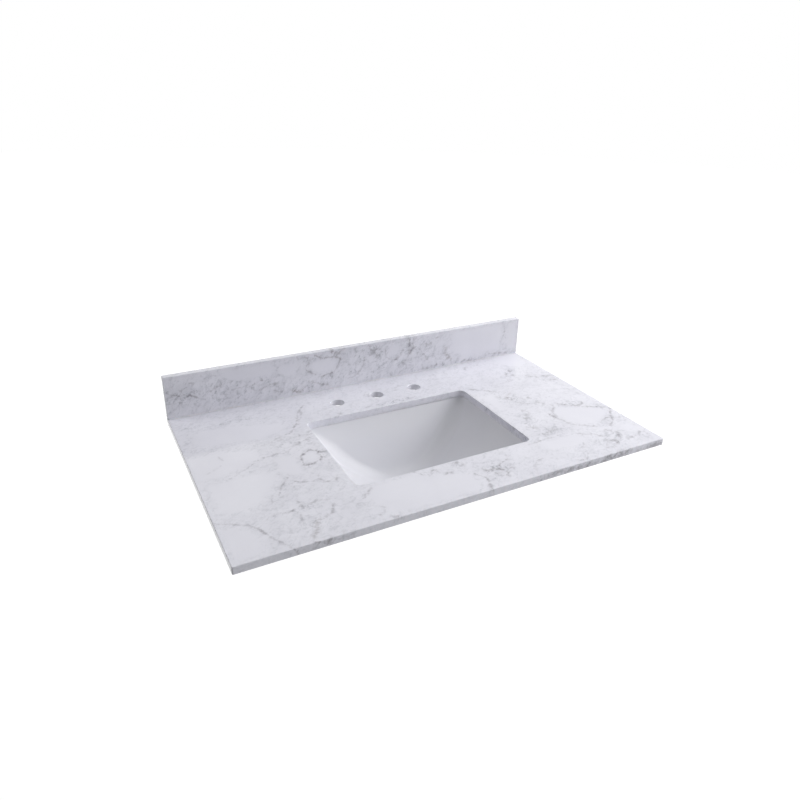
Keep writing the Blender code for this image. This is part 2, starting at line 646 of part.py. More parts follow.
def make_stopper(anchor):
    """The cap, its seal and the plunger rise together out of the tube, along the empty's Z."""
    axis = make_anchor("stopper_axis", (0, 0, SEAL_Z), anchor)
    skirt_inner = SEAL_OUTER_RADIUS + REST_GAP
    skirt_z = WASTE_TOP_Z + SKIRT_CLEARANCE
    rim_z = CAP_UNDER_Z + CAP_PLATE_THICKNESS
    edge = CAP_RADIUS - CAP_EDGE_ROUND
    socket = PLUNGER_RADIUS + REST_GAP
    dome = [
        (share * edge, rim_z + CAP_DOME * (1 - share**2)) for share in np.linspace(0, 1, 2 * ARC_STEPS + 1)
    ]
    cap_profile = dome + arc(edge, rim_z - CAP_EDGE_ROUND, CAP_EDGE_ROUND, 90, 0, ARC_STEPS)[1:]
    cap_profile += [
        (CAP_RADIUS, skirt_z),
        (skirt_inner, skirt_z),
        (skirt_inner, CAP_UNDER_Z),
        (CAP_BOSS_RADIUS, CAP_UNDER_Z),
        (CAP_BOSS_RADIUS, CAP_BOSS_Z),
        (socket, CAP_BOSS_Z),
        (socket, CAP_BOSS_Z + CAP_SOCKET_DEPTH),
        (0, CAP_BOSS_Z + CAP_SOCKET_DEPTH),
    ]

    def on_axis(profile):
        return [(radius, z - SEAL_Z) for radius, z in profile]

    turned("stopper_cap", on_axis(cap_profile), ROUND_SEGMENTS, axis, "chrome", closed=False)
    seal = ring_profile(SEAL_INNER_RADIUS, SEAL_OUTER_RADIUS, SEAL_Z, SEAL_Z + SEAL_THICKNESS)
    turned("stopper_seal", on_axis(seal), ROUND_SEGMENTS, axis, "rubber")
    head_top = PLUNGER_HEAD_Z + PLUNGER_HEAD_THICKNESS
    plunger_top = CAP_BOSS_Z + CAP_SOCKET_DEPTH - REST_GAP
    plunger_end = CARTRIDGE_Z + CARTRIDGE_FLOOR + PLUNGER_END_SPACE
    plunger = [
        (0, plunger_top),
        (PLUNGER_RADIUS, plunger_top),
        (PLUNGER_RADIUS, head_top),
        (PLUNGER_HEAD_RADIUS, head_top),
        (PLUNGER_HEAD_RADIUS, PLUNGER_HEAD_Z),
        (PLUNGER_RADIUS, PLUNGER_HEAD_Z),
        (PLUNGER_RADIUS, plunger_end),
        (0, plunger_end),
    ]
    turned("stopper_plunger", on_axis(plunger), SMALL_SEGMENTS, axis, "zinc_steel", closed=False)


def make_clip_bracket(name, anchor):
    """A bent plate seen from its side: its toe lies under the flange, and its heel stands against the stone."""
    toe_y = CLIP_STUD_FROM_FLANGE + CLIP_TOE
    heel_y = -CLIP_HEEL
    inner = heel_y + CLIP_PLATE
    bend_y, bend_z = inner + CLIP_BEND, CLIP_PLATE_TOP_Z + CLIP_BEND
    side = [(toe_y, CLIP_PLATE_Z), (toe_y, CLIP_PLATE_TOP_Z)]
    side += arc(bend_y, bend_z, CLIP_BEND, 270, 180, ARC_STEPS)
    side += [(inner, -REST_GAP), (heel_y, -REST_GAP)]
    side += arc(bend_y, bend_z, CLIP_BEND + CLIP_PLATE, 180, 270, ARC_STEPS)
    bracket = outline_plate(name, [side], CLIP_WIDTH, anchor, "zinc_steel")
    upright = Matrix(((0, 0, 1), (1, 0, 0), (0, 1, 0))).to_4x4()
    bracket.data.transform(upright)
    hole = cylinder_cutter(
        name + "_hole_cutter",
        CLIP_HOLE_RADIUS,
        CLIP_PLATE_Z - CUT_OVERRUN,
        CLIP_PLATE_TOP_Z + CUT_OVERRUN,
        SMALL_SEGMENTS,
        anchor,
    )
    boolean(bracket, "DIFFERENCE", hole)


def make_wing_nut(name, anchor):
    """A round hub with an ear on either side that reaches out and down, for turning by hand."""
    radius = CLIP_HOLE_RADIUS + WING_HUB_WALL
    hub = [(0, WING_NUT_TOP_Z), (radius, WING_NUT_TOP_Z), (radius, WING_NUT_Z), (0, WING_NUT_Z)]
    nut = turned(name, hub, SMALL_SEGMENTS, anchor, "zinc_steel", closed=False)
    lower = WING_NUT_Z + WING_HUB_HEIGHT * WING_ROOT_SHARE
    upper = WING_NUT_TOP_Z - WING_HUB_HEIGHT * WING_ROOT_SHARE
    for side, sign in (("left", -1), ("right", 1)):
        ear = [(CLIP_HOLE_RADIUS, lower), (CLIP_HOLE_RADIUS, upper)]
        ear += arc(WING_REACH, WING_NUT_TOP_Z - WING_DROP, WING_RADIUS, 75, -120, 3 * ARC_STEPS)
        ear = [(sign * x, z) for x, z in ear]
        wing = outline_plate(f"{name}_{side}_ear", [ear], WING_THICKNESS, anchor)
        wing.data.transform(Matrix(((1, 0, 0), (0, 0, 1), (0, 1, 0))).to_4x4())
        wing.data.flip_normals()
        boolean(nut, "UNION", wing)
    bore = cylinder_cutter(
        name + "_bore_cutter",
        CLIP_HOLE_RADIUS,
        WING_NUT_Z - CUT_OVERRUN,
        WING_NUT_TOP_Z + CUT_OVERRUN,
        SMALL_SEGMENTS,
        anchor,
    )
    boolean(nut, "DIFFERENCE", bore)


def make_clip(place_name, where, turn):
    """An insert in the stone's underside, and the stud, bracket, washer and wing nut that hang from it."""
    anchor = make_anchor(f"clip_{place_name}", where, turn=turn)
    insert = ring_profile(CLIP_INSERT_BORE_RADIUS, CLIP_INSERT_RADIUS, 0, CLIP_INSERT_LENGTH)
    turned(f"clip_insert_{place_name}", insert, SMALL_SEGMENTS, anchor, "brass")
    stud_top = CLIP_INSERT_LENGTH - CLIP_INSERT_MOUTH
    ease = CLIP_STUD_CHAMFER
    stud = [
        (0, stud_top),
        (CLIP_STUD_RADIUS - ease, stud_top),
        (CLIP_STUD_RADIUS, stud_top - ease),
        (CLIP_STUD_RADIUS, STUD_END_Z + ease),
        (CLIP_STUD_RADIUS - ease, STUD_END_Z),
        (0, STUD_END_Z),
    ]
    turned(f"clip_stud_{place_name}", stud, SMALL_SEGMENTS, anchor, "zinc_steel", closed=False)
    make_clip_bracket(f"clip_bracket_{place_name}", anchor)
    washer_top = CLIP_WASHER_Z + CLIP_WASHER_THICKNESS
    washer = ring_profile(CLIP_HOLE_RADIUS, CLIP_HOLE_RADIUS + CLIP_WASHER_WIDTH, CLIP_WASHER_Z, washer_top)
    turned(f"clip_washer_{place_name}", washer, SMALL_SEGMENTS, anchor, "zinc_steel")
    make_wing_nut(f"clip_wing_nut_{place_name}", anchor)


clear_scene()
parts = make_collection("undermount_vanity_sink")
cutters = make_collection("cutters")
finishes = make_finishes()
make_stone_top()
make_backsplash()
basin_centre = make_basin()
make_waste(basin_centre)
make_cartridge(basin_centre)
make_stopper(basin_centre)
for clip_name, clip_where, clip_turn in clip_places():
    make_clip(clip_name, clip_where, clip_turn)
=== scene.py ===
"""Undermount vanity sink: the finished look of every piece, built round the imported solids.

Lengths are metres in the solids' own frame. Points of the stone's pattern are millimetres, counted from
the left end of a face and from its front or foot.
"""

import math

import bmesh
import bpy
import numpy as np
from mathutils import Matrix, Vector
from mathutils.geometry import delaunay_2d_cdt


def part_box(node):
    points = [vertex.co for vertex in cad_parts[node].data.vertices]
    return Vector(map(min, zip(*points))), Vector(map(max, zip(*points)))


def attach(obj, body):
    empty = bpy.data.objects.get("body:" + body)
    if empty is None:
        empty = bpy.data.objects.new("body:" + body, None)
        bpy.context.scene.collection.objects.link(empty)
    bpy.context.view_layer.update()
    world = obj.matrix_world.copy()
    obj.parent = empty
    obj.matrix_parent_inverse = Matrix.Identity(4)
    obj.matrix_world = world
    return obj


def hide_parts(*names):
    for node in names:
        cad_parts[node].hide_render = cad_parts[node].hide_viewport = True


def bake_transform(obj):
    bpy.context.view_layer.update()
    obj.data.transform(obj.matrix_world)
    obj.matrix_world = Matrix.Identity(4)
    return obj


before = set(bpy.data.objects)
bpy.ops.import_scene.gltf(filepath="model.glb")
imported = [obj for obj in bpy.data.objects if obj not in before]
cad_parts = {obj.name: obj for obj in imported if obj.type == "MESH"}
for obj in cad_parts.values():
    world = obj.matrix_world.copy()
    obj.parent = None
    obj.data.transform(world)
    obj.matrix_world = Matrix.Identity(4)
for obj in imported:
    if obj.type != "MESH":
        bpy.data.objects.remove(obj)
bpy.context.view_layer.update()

bl_info = {
    "name": "Undermount Vanity Sink",
    "version": (1, 0, 0),
    "blender": (4, 5, 0),
    "location": "View3D > Sidebar > Vanity Sink",
    "description": "Builds a stone vanity top, its basin, waste and clips round their packed solids",
    "category": "Add Mesh",
}

MM = 0.001
FULL_TURN = 2 * math.pi
QUARTER_TURN = math.pi / 2

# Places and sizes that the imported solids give
TOP_LOW, TOP_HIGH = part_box("stone_top")
SPLASH_LOW, SPLASH_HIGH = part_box("backsplash")
BASIN_LOW, BASIN_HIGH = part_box("basin")
BASIN_CENTRE = (BASIN_LOW + BASIN_HIGH) / 2
CENTRE = (0.0, BASIN_CENTRE.y, 0.0)
CLIP_NAMES = ("front_left", "front_right", "back_left", "back_right")

# The stone's openings and how its edges are finished
CUTOUT_HALF_LENGTH = 0.2032
CUTOUT_HALF_WIDTH = 0.1397
CUTOUT_CORNER = 0.014
TAP_HOLE_RADIUS = 0.016
TAP_HOLE_SPACING = 0.1016
TAP_HOLE_Y = -0.0933
BLIND_HOLE_GAP = 0.0003
TOP_CORNER = 0.0022
EDGE_EASE = 0.0012
UNDER_EASE = 0.0003
FLAT_STRIP = 0.0003

# The bowl. Its ends and sides are each a half reach at the rim, the share of it by which they slope in,
# and the power and the root of their fall to the circle round the outlet.
BOWL_DEPTH = 0.140
BOWL_ENDS = (0.2062, 0.50, 4.2, 1.25)
BOWL_SIDES = (0.1427, 0.41, 14.0, 3.5)
BOWL_RIM_CORNER = 0.017
BOWL_FLOOR_CORNER = 0.038
FLANGE_CORNER = 0.030
FLANGE_THICKNESS = 0.010
SEAT_RADIUS = 0.0329
SEAT_DEPTH = 0.003
OUTLET_RADIUS = 0.0225
BOSS_RADIUS = 0.0345
BOSS_FILLET = 0.004

# The waste and the clips
TUBE_RADIUS = 0.0205
TUBE_BORE = 0.0175
TUBE_PITCH = 0.0023
TUBE_THREAD_DEPTH = 0.0009
SEAL_BORE = TUBE_RADIUS + 0.0003
STUD_HOLE = 0.0033

# How meshes are made
EASE_STEPS = 4
LARGEST_EASE = 0.4
FLAT_FROM = 1.15
UNDERSIDE_COARSER = 4
POINTS_AT_ONCE = 4000
MERGE_WITHIN = 1e-8
WELD = 0.000002
SHARP_ANGLE = math.radians(36)


# Shapes


def outline_pattern(corner_steps, side_steps):
    """Where each point of a rounded rectangle belongs: its hub, a corner's centre or a mix of two along a
    side, as signs, and the direction in which it lies from its hub."""
    signs = np.array([(1, 1), (-1, 1), (-1, -1), (1, -1)], float)
    hubs, directions = [], []
    for corner in range(4):
        angle = (corner + np.linspace(0, 1, corner_steps + 1)) * QUARTER_TURN
        share = np.linspace(0, 1, side_steps[corner % 2] + 1)[1:-1, None]
        hubs += [np.tile(signs[corner], (corner_steps + 1, 1))]
        hubs += [signs[corner] + share * (signs[(corner + 1) % 4] - signs[corner])]
        arc = np.column_stack([np.cos(angle), np.sin(angle)])
        directions += [arc, np.tile(arc[-1], (len(share), 1))]
    return np.concatenate(hubs), np.concatenate(directions)


def level_rings(sections, pattern, centre=(0, 0)):
    """Level rounded rectangles, one ring a row of (half length, half width, corner radius, height): a point
    is its hub times the half sides less the corner, plus its direction times the corner."""
    sections = np.asarray(sections, float)
    half, corner = sections[:, None, :2], sections[:, None, 2:3]
    flat = pattern[0] * (half - corner) + pattern[1] * corner + np.asarray(centre)
    height = np.broadcast_to(sections[:, None, 3:], flat.shape[:2] + (1,))
    return np.concatenate([flat, height], -1)


def rounded_loop(half_x, half_y, corner, pattern, centre=(0, 0)):
    """One level rounded rectangle as a flat outline."""
    return level_rings([(half_x, half_y, corner, 0)], pattern, centre)[0, :, :2]


def skin(rings, closed=False):
    """Points and faces between neighbouring rings of equal length. Closed joins the last to the first."""
    rows, count = rings.shape[:2]
    row = np.arange(rows if closed else rows - 1)[:, None] * count
    beside = np.arange(count)[None]
    after = (row + count) % (rows * count)
    following = (beside + 1) % count
    faces = np.stack([row + beside, row + following, after + following, after + beside], -1)
    return rings.reshape(-1, 3), faces.reshape(-1, 4)


def eased(corners, ease=None, closed=False, steps=EASE_STEPS):
    """A line with its corners rounded: each becomes a quadratic curve that leaves and meets the sides the
    ease's length away from it, or less where a side is short, with a point a little further out so that
    flat sides stay flat in shading.
    Where no ease is given, each corner's own stands at the end of its row."""
    corners = np.asarray(corners, float)
    if ease is None:
        corners, ease = corners[:, :-1], corners[:, -1]
    before, after = np.roll(corners, 1, 0) - corners, np.roll(corners, -1, 0) - corners
    lengths = np.linalg.norm(before, axis=1), np.linalg.norm(after, axis=1)
    before, after = before / lengths[0][:, None], after / lengths[1][:, None]
    limit = LARGEST_EASE * np.minimum(*lengths)
    reach = np.minimum(np.broadcast_to(ease, len(corners)), limit)[:, None, None]
    before, after, corner = before[:, None], after[:, None], corners[:, None]
    share = np.linspace(0, 1, steps + 1)[None, :, None]
    start, end = corner + reach * before, corner + reach * after
    curve = (1 - share) ** 2 * start + 2 * share * (1 - share) * corner + share**2 * end
    outer = FLAT_FROM * reach
    line = np.concatenate([corner + outer * before, curve, corner + outer * after], 1)
    if closed:
        return line.reshape(-1, corners.shape[1])
    inner = line[1:-1].reshape(-1, corners.shape[1])
    return np.concatenate([corners[:1], inner, corners[-1:]])


def turned(profile, segments, centre=CENTRE, closed=False):
    """A profile of (radius, height) carried round the upright line through a centre: X is the radius times
    the cosine of the angle and Y the radius times its sine. A radius may be a row of radii, one an angle."""
    angle = np.arange(segments) * FULL_TURN / segments
    radius = np.stack([np.broadcast_to(r, segments) for r, _ in profile])
    height = np.array([z for _, z in profile], float)[:, None] + np.zeros(segments)
    x = centre[0] + radius * np.cos(angle)
    y = centre[1] + radius * np.sin(angle)
    return skin(np.stack([x, y, height + centre[2]], -1), closed)


def thread_rows(radius, depth, pitch, low, high, segments, rows_a_pitch=8):
    """Rows of a threaded wall, from high to low: the radius falls by the depth times a smooth wave of
    height over pitch less angle over a full turn, and the wave fades out over one pitch at either end."""
    angle = np.arange(segments) / segments
    rows = np.linspace(low, high, max(4, round((high - low) / pitch * rows_a_pitch)) + 1)
    fade = np.clip(np.minimum(rows - low, high - rows) / pitch, 0, 1)
    wave = 0.5 - 0.5 * np.cos(FULL_TURN * (rows[:, None] / pitch - angle))
    return list(zip(radius - depth * fade[:, None] * wave, rows))[::-1]


def circle(radius, steps, centre=(0, 0)):
    angle = np.arange(steps) * FULL_TURN / steps
    return np.column_stack([centre[0] + radius * np.cos(angle), centre[1] + radius * np.sin(angle)])


def inside(points, loop):
    """Whether each point lies in a closed outline: a level line from it crosses the outline an odd number
    of times. Only the points in the outline's own box are tried."""
    result = ((points > loop.min(0)) & (points < loop.max(0))).all(1)
    chosen = np.flatnonzero(result)
    (ax, ay), (bx, by) = loop.T, np.roll(loop, -1, 0).T
    rise = np.where(by == ay, 1, by - ay)
    for part in np.array_split(chosen, len(chosen) // POINTS_AT_ONCE + 1):
        x, y = points[part, :1], points[part, 1:]
        crosses = ((ay > y) != (by > y)) & (x < ax + (y - ay) * (bx - ax) / rise)
        result[part] = crosses.sum(1) % 2 == 1
    return result


def within(points, loops):
    """Whether each point lies in the first outline and in none of the others, which are its holes."""
    result = inside(points, loops[0])
    for hole in loops[1:]:
        result &= ~inside(points, hole)
    return result


def flat_sheet(loops, height, spacing):
    """A level face. The first loop bounds it and the others are holes. A grid of points fills it, so that
    bends and patterns kept on its points have room, and the triangles follow the loops exactly."""
    low, high = loops[0].min(0), loops[0].max(0)
    steps = [np.arange(low[i] + spacing[i] / 2, high[i], spacing[i]) for i in (0, 1)]
    grid = np.stack(np.meshgrid(*steps), -1).reshape(-1, 2)
    grid = grid[within(grid, loops)]
    edges, start = [], 0
    for loop in loops:
        index = start + np.arange(len(loop))
        edges.append(np.column_stack([index, np.roll(index, -1)]))
        start += len(loop)
    points = np.concatenate([*loops, grid])
    made = delaunay_2d_cdt(points.tolist(), np.concatenate(edges).tolist(), [], 1, MERGE_WITHIN, False)
    flat, faces = np.array([tuple(p) for p in made[0]]), np.array(made[2])
    kept = within(flat[faces].mean(1), loops)
    return np.column_stack([flat, np.full(len(flat), height)]), faces[kept]


def plate(loops_at, low, high, eases, spacing, under_loops=(), rows=2):
    """A level plate between two heights. loops_at(inset) gives its outline and its holes, each moved into
    the material by the inset. A quarter round joins every wall to the faces, its radius the upper or the
    under ease, and a narrow strip inside it keeps the faces' shading flat. Under_loops are blind holes."""
    angle = np.linspace(0, QUARTER_TURN, EASE_STEPS + 1)
    upper, under = eases
    profile = [(upper + FLAT_STRIP, high)]
    profile += list(zip(upper * (1 - np.sin(angle)), high - upper * (1 - np.cos(angle))))
    profile += [(0, z) for z in np.linspace(high - upper, low + under, rows + 1)[1:-1]]
    profile += list(zip(under * (1 - np.sin(angle[::-1])), low + under * (1 - np.cos(angle[::-1]))))
    profile += [(under + FLAT_STRIP, low)]
    levels = [(loops_at(inset), z) for inset, z in profile]
    coarse = [UNDERSIDE_COARSER * step for step in spacing]
    shells = [flat_sheet(levels[0][0], high, spacing)]
    shells += [flat_sheet([*levels[-1][0], *under_loops], low, coarse)]
    for number in range(len(levels[0][0])):
        rings = [np.column_stack([loops[number], np.full(len(loops[number]), z)]) for loops, z in levels]
        shells.append(skin(np.stack(rings)))
    return shells


def moved(shells, place, turn=0.0):
    """The shells turned about the upright line and set down at a place."""
    c, s = math.cos(turn), math.sin(turn)
    across = np.array([[c, s, 0], [-s, c, 0], [0, 0, 1]])
    return [(points @ across + np.asarray(place), faces) for points, faces in shells]


def ring_shell(node, inner, ease, segments=96, bulge=0.0):
    """A flat ring as big as a node's box, round an inner radius, its corners eased. A bulge rounds its
    rim."""
    low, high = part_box(node)
    outer = (high.x - low.x) / 2
    rim = outer - bulge
    centre = ((low.x + high.x) / 2, (low.y + high.y) / 2, 0)
    middle = (low.z + high.z) / 2
    corners = [(inner, high.z), (rim, high.z), (outer, middle), (rim, low.z), (inner, low.z)]
    return turned(eased(corners, ease, closed=True), segments, centre, closed=True)


def make_piece(name, shells, finish, replaces, body="sink"):
    """Joins the shells in one mesh, welds their shared points, turns the faces outwards, gives the piece its
    finish, hides the CAD node that it stands for, and sets it on the body that it rides on, if it rides."""
    points = np.concatenate([p for p, _ in shells])
    starts = np.cumsum([0] + [len(p) for p, _ in shells])
    faces = [face for (_, f), start in zip(shells, starts) for face in (f + start).tolist()]
    mesh = bpy.data.meshes.new(name)
    mesh.from_pydata(points.tolist(), [], faces)
    shape = bmesh.new()
    shape.from_mesh(mesh)
    bmesh.ops.remove_doubles(shape, verts=shape.verts, dist=WELD)
    bmesh.ops.dissolve_degenerate(shape, edges=shape.edges, dist=WELD / 4)
    bmesh.ops.recalc_face_normals(shape, faces=shape.faces)
    shape.to_mesh(mesh)
    shape.free()
    mesh.shade_smooth()
    mesh.set_sharp_from_angle(angle=SHARP_ANGLE)
    mesh.materials.append(finish_named(finish))
    piece = bpy.data.objects.new(name, mesh)
    bpy.context.scene.collection.objects.link(piece)
    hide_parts(replaces)
    if body:
        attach(piece, body)
    return piece


# The stone's pattern

# A vein is its darkness, its width, how brown it is, and its points. A cloud is its middle, its half sizes,
# its turn in degrees, its density and how brown it is. A pebble is the outline of a calm, pale patch.

# Some marks in these tables are painted shade and not the stone's own pattern; a comment stands above each.
TOP_VEINS = {
    "hexagon": (1.15, 2.4, 0.2, (210, 272), (234, 289), (248, 275), (246, 251), (242, 244), (226, 236),
                (208, 235), (205, 240), (210, 272)),
    "hexagon_foot": (0.8, 3.0, 0.5, (203, 236), (212, 235), (220, 238)),
    "hexagon_side": (0.55, 3.0, 0.3, (249, 252), (250, 262), (252, 270), (262, 272)),
    "hexagon_spur": (0.4, 2.0, 0.2, (262, 238), (255, 232), (247, 214)),
    "back_left_long": (0.6, 2.4, 0.3, (292, 486), (282, 474), (272, 458), (262, 444), (256, 428), (246, 408),
                       (234, 388), (222, 374), (214, 368)),
    "back_left_long_twin": (0.38, 1.8, 0.2, (276, 452), (268, 436), (258, 420), (250, 402)),
    "back_left_tail": (0.4, 1.8, 0.2, (214, 370), (196, 366), (184, 360), (170, 350), (152, 346)),
    "left_spots_1": (0.5, 3.0, 0.2, (191, 350), (196, 354)),
    "left_spots_2": (0.45, 3.0, 0.2, (233, 351), (238, 355)),
    "left_spots_3": (0.4, 2.6, 0.2, (260, 360), (265, 365)),
    "left_spots_4": (0.4, 3.0, 0.2, (247, 352), (258, 350), (270, 356)),
    "left_wave": (0.5, 2.4, 0.2, (252, 336), (240, 330), (225, 325), (212, 322), (204, 316), (192, 302)),
    "left_wave_end": (0.5, 2.6, 0.2, (192, 302), (182, 299), (172, 303), (158, 300), (142, 298)),
    "left_drop": (0.32, 2.0, 0.1, (60, 340), (62, 330), (66, 320)),
    "left_slope": (0.3, 1.6, 0.1, (57, 305), (48, 298), (40, 292), (28, 286)),
    "left_step": (0.36, 1.8, 0.1, (128, 292), (112, 281), (98, 272), (84, 265), (74, 258), (60, 254)),
    "left_fork": (0.5, 2.0, 0.2, (162, 210), (154, 200), (145, 190), (139, 178), (134, 168), (128, 158)),
    "left_fork_low": (0.34, 2.0, 0.2, (118, 162), (114, 152), (110, 140)),
    "left_fork_side": (0.5, 2.0, 0.2, (160, 198), (168, 190), (176, 184), (186, 180), (200, 176)),
    "left_hook": (0.55, 2.4, 0.3, (214, 176), (220, 166), (230, 159), (240, 163), (246, 172)),
    "left_hook_top": (0.3, 1.8, 0.2, (218, 196), (214, 188), (211, 178)),
    "corner_long": (0.42, 2.0, 0.2, (0, 126), (14, 118), (30, 111), (42, 102), (52, 94), (60, 84)),
    "corner_long_end": (0.7, 2.4, 0.3, (60, 84), (65, 74), (69, 64), (75, 52)),
    "corner_tail": (0.45, 2.2, 0.2, (75, 52), (80, 40), (86, 30), (96, 14), (98, 4)),
    "corner_row": (0.45, 3.4, 0.3, (86, 97), (94, 104), (102, 100), (112, 105), (124, 100), (142, 104)),
    "corner_row_end": (0.4, 3.0, 0.3, (150, 124), (153, 110), (156, 98)),
    "corner_row_far": (0.38, 3.0, 0.3, (168, 110), (180, 111), (192, 110), (200, 106)),
    "corner_fall": (0.34, 2.0, 0.2, (146, 90), (142, 72), (138, 54)),
    "corner_rise": (0.5, 2.6, 0.3, (178, 60), (188, 64), (196, 69), (201, 78), (206, 88)),
    "corner_brown": (0.42, 4.5, 0.9, (166, 56), (158, 46), (152, 34), (147, 24), (142, 10)),
    "corner_twig": (0.3, 2.0, 0.3, (136, 34), (131, 26), (127, 18)),
    "corner_brow": (0.5, 2.6, 0.2, (292, 118), (290, 110), (286, 104), (278, 94), (268, 86), (262, 77)),
    "front_hook": (0.35, 2.0, 0.2, (276, 46), (284, 36), (278, 28), (268, 21)),
    "front_dot": (0.6, 3.0, 0.2, (286, 5), (296, 2)),
    "front_fall": (0.35, 2.0, 0.2, (386, 118), (391, 110), (396, 104)),
    "front_cup": (0.45, 2.2, 0.2, (406, 97), (414, 104), (423, 108), (429, 100), (432, 94)),
    "front_dot_2": (0.7, 3.6, 0.2, (443, 88), (450, 87)),
    "front_arc": (0.5, 2.8, 0.3, (464, 119), (476, 114), (488, 110), (490, 102), (482, 98)),
    "front_curve": (0.6, 2.4, 0.2, (491, 60), (496, 50), (502, 40), (500, 28), (497, 18), (494, 8)),
    "front_knot": (0.65, 4.0, 0.4, (516, 66), (522, 58), (532, 61), (541, 55), (548, 50)),
    "front_knot_low": (0.5, 3.6, 0.5, (528, 44), (538, 40), (548, 46), (552, 34), (544, 28)),
    "front_branch": (0.6, 2.8, 0.3, (552, 66), (562, 71), (572, 76), (580, 81), (586, 91)),
    "front_branch_low": (0.6, 2.8, 0.3, (577, 62), (572, 55), (567, 50), (574, 46)),
    "front_cloud_line": (0.3, 3.0, 0.2, (604, 12), (614, 28), (624, 42), (636, 48), (648, 52)),
    "edge_streak": (0.65, 3.0, 0.4, (612, -6), (650, -4), (700, -6), (742, -5)),
    "edge_streak_far": (0.6, 4.0, 0.4, (760, -6), (820, -4), (880, -7), (932, -6)),
    "edge_cross": (0.5, 2.4, 0.3, (494, 8), (492, -2), (488, -10)),
    "edge_cross_left": (0.6, 2.6, 0.3, (98, 4), (102, -4), (100, -11)),
    "edge_dash_left": (0.7, 3.0, 0.4, (138, 0), (150, -4), (166, -3)),
    "front_line": (0.4, 2.0, 0.2, (658, 108), (672, 108), (694, 110), (716, 111), (742, 112)),
    "back_middle": (0.35, 3.0, 0.1, (336, 398), (346, 404), (352, 410)),
    # Painted shade: the next three marks are shade painted on the top beside the tap holes, not veins.
    "hole_shade_left": (0.5, 3.4, 0.1, (436, 466), (442, 476), (449, 486)),
    "hole_shade_left_2": (0.4, 3.0, 0.1, (446, 462), (452, 474), (458, 484)),
    "hole_shade_right": (0.35, 3.0, 0.1, (522, 470), (528, 480), (540, 486)),
    "back_right_dot": (0.6, 4.0, 0.2, (748, 508), (753, 514)),
    "back_right_faint": (0.3, 2.6, 0.2, (776, 520), (790, 514)),
    "right_leaf": (0.6, 3.4, 0.2, (848, 452), (844, 442), (842, 430), (838, 416)),
    "right_leaf_side": (0.45, 3.0, 0.2, (832, 440), (828, 430), (820, 422)),
    "right_dots_1": (0.4, 3.0, 0.3, (868, 401), (873, 399)),
    "right_dots_2": (0.55, 3.6, 0.3, (880, 392), (888, 388), (892, 380)),
    "right_twig": (0.35, 2.4, 0.2, (812, 410), (817, 400), (821, 392), (800, 394), (780, 390)),
    "right_slope": (0.42, 3.0, 0.3, (690, 394), (704, 384), (718, 376), (728, 366), (736, 357), (750, 351)),
    "right_lilac": (0.6, 5.5, 0.7, (768, 333), (760, 328), (752, 322), (748, 314), (747, 305)),
    "right_fleck_1": (0.35, 4.0, 0.4, (728, 330), (733, 325)),
    "right_fleck_2": (0.4, 4.0, 0.3, (792, 293), (798, 287)),
    "right_fleck_3": (0.45, 4.6, 0.4, (754, 278), (764, 270), (774, 266)),
    "right_fleck_4": (0.35, 4.0, 0.4, (772, 303), (778, 296)),
    "right_fleck_5": (0.45, 4.6, 0.5, (800, 262), (807, 254)),
    "right_far_1": (0.4, 4.0, 0.2, (904, 350), (914, 354), (926, 355)),
    "right_far_2": (0.4, 4.0, 0.2, (906, 388), (914, 381), (934, 375)),
    "big_pebble_left": (0.42, 2.6, 0.3, (818, 238), (819, 228), (806, 216), (797, 205), (794, 190),
                        (793, 170)),
    "big_pebble_top": (0.6, 3.0, 0.3, (838, 236), (850, 222), (862, 212), (876, 209), (888, 208), (898, 216)),
    "big_pebble_right": (0.55, 2.4, 0.3, (870, 206), (886, 198), (904, 188), (918, 179), (930, 170),
                         (938, 160)),
    "big_pebble_low": (0.5, 2.4, 0.3, (793, 170), (795, 150), (806, 134), (820, 127), (838, 112), (852, 104)),
    "big_pebble_dot": (0.7, 3.6, 0.3, (785, 202), (788, 186), (790, 172)),
    "cross_long": (0.75, 2.2, 0.2, (936, 166), (926, 152), (914, 140), (906, 128), (899, 114), (888, 104),
                   (874, 97)),
    "cross_short": (0.55, 2.2, 0.2, (868, 119), (882, 124), (896, 131), (910, 127), (926, 120)),
    "low_right_1": (0.5, 3.4, 0.2, (786, 98), (792, 94), (812, 86), (826, 66)),
    "low_right_2": (0.6, 3.2, 0.3, (850, 86), (858, 75), (866, 64), (858, 50)),
    "low_right_3": (0.5, 3.4, 0.3, (822, 48), (814, 36), (806, 30)),
    "low_right_4": (0.65, 3.4, 0.3, (828, 44), (838, 41), (846, 37), (832, 31)),
    "low_right_5": (0.4, 3.0, 0.2, (754, 50), (762, 56), (768, 60)),
    "low_right_6": (0.5, 3.0, 0.2, (746, 26), (738, 17), (729, 9), (712, 12)),
    "low_right_7": (0.35, 3.0, 0.2, (782, 20), (800, 22), (820, 18)),
    "low_right_8": (0.4, 3.2, 0.2, (868, 34), (886, 37), (904, 40), (916, 46), (926, 40), (920, 25)),
    "right_cloud_1": (0.55, 5.0, 0.6, (700, 174), (708, 167), (716, 160)),
    "right_cloud_2": (0.6, 4.0, 0.3, (712, 132), (722, 130), (736, 138), (748, 141)),
    "right_cloud_3": (0.4, 4.0, 0.3, (742, 240), (748, 232), (730, 214), (722, 206)),
}

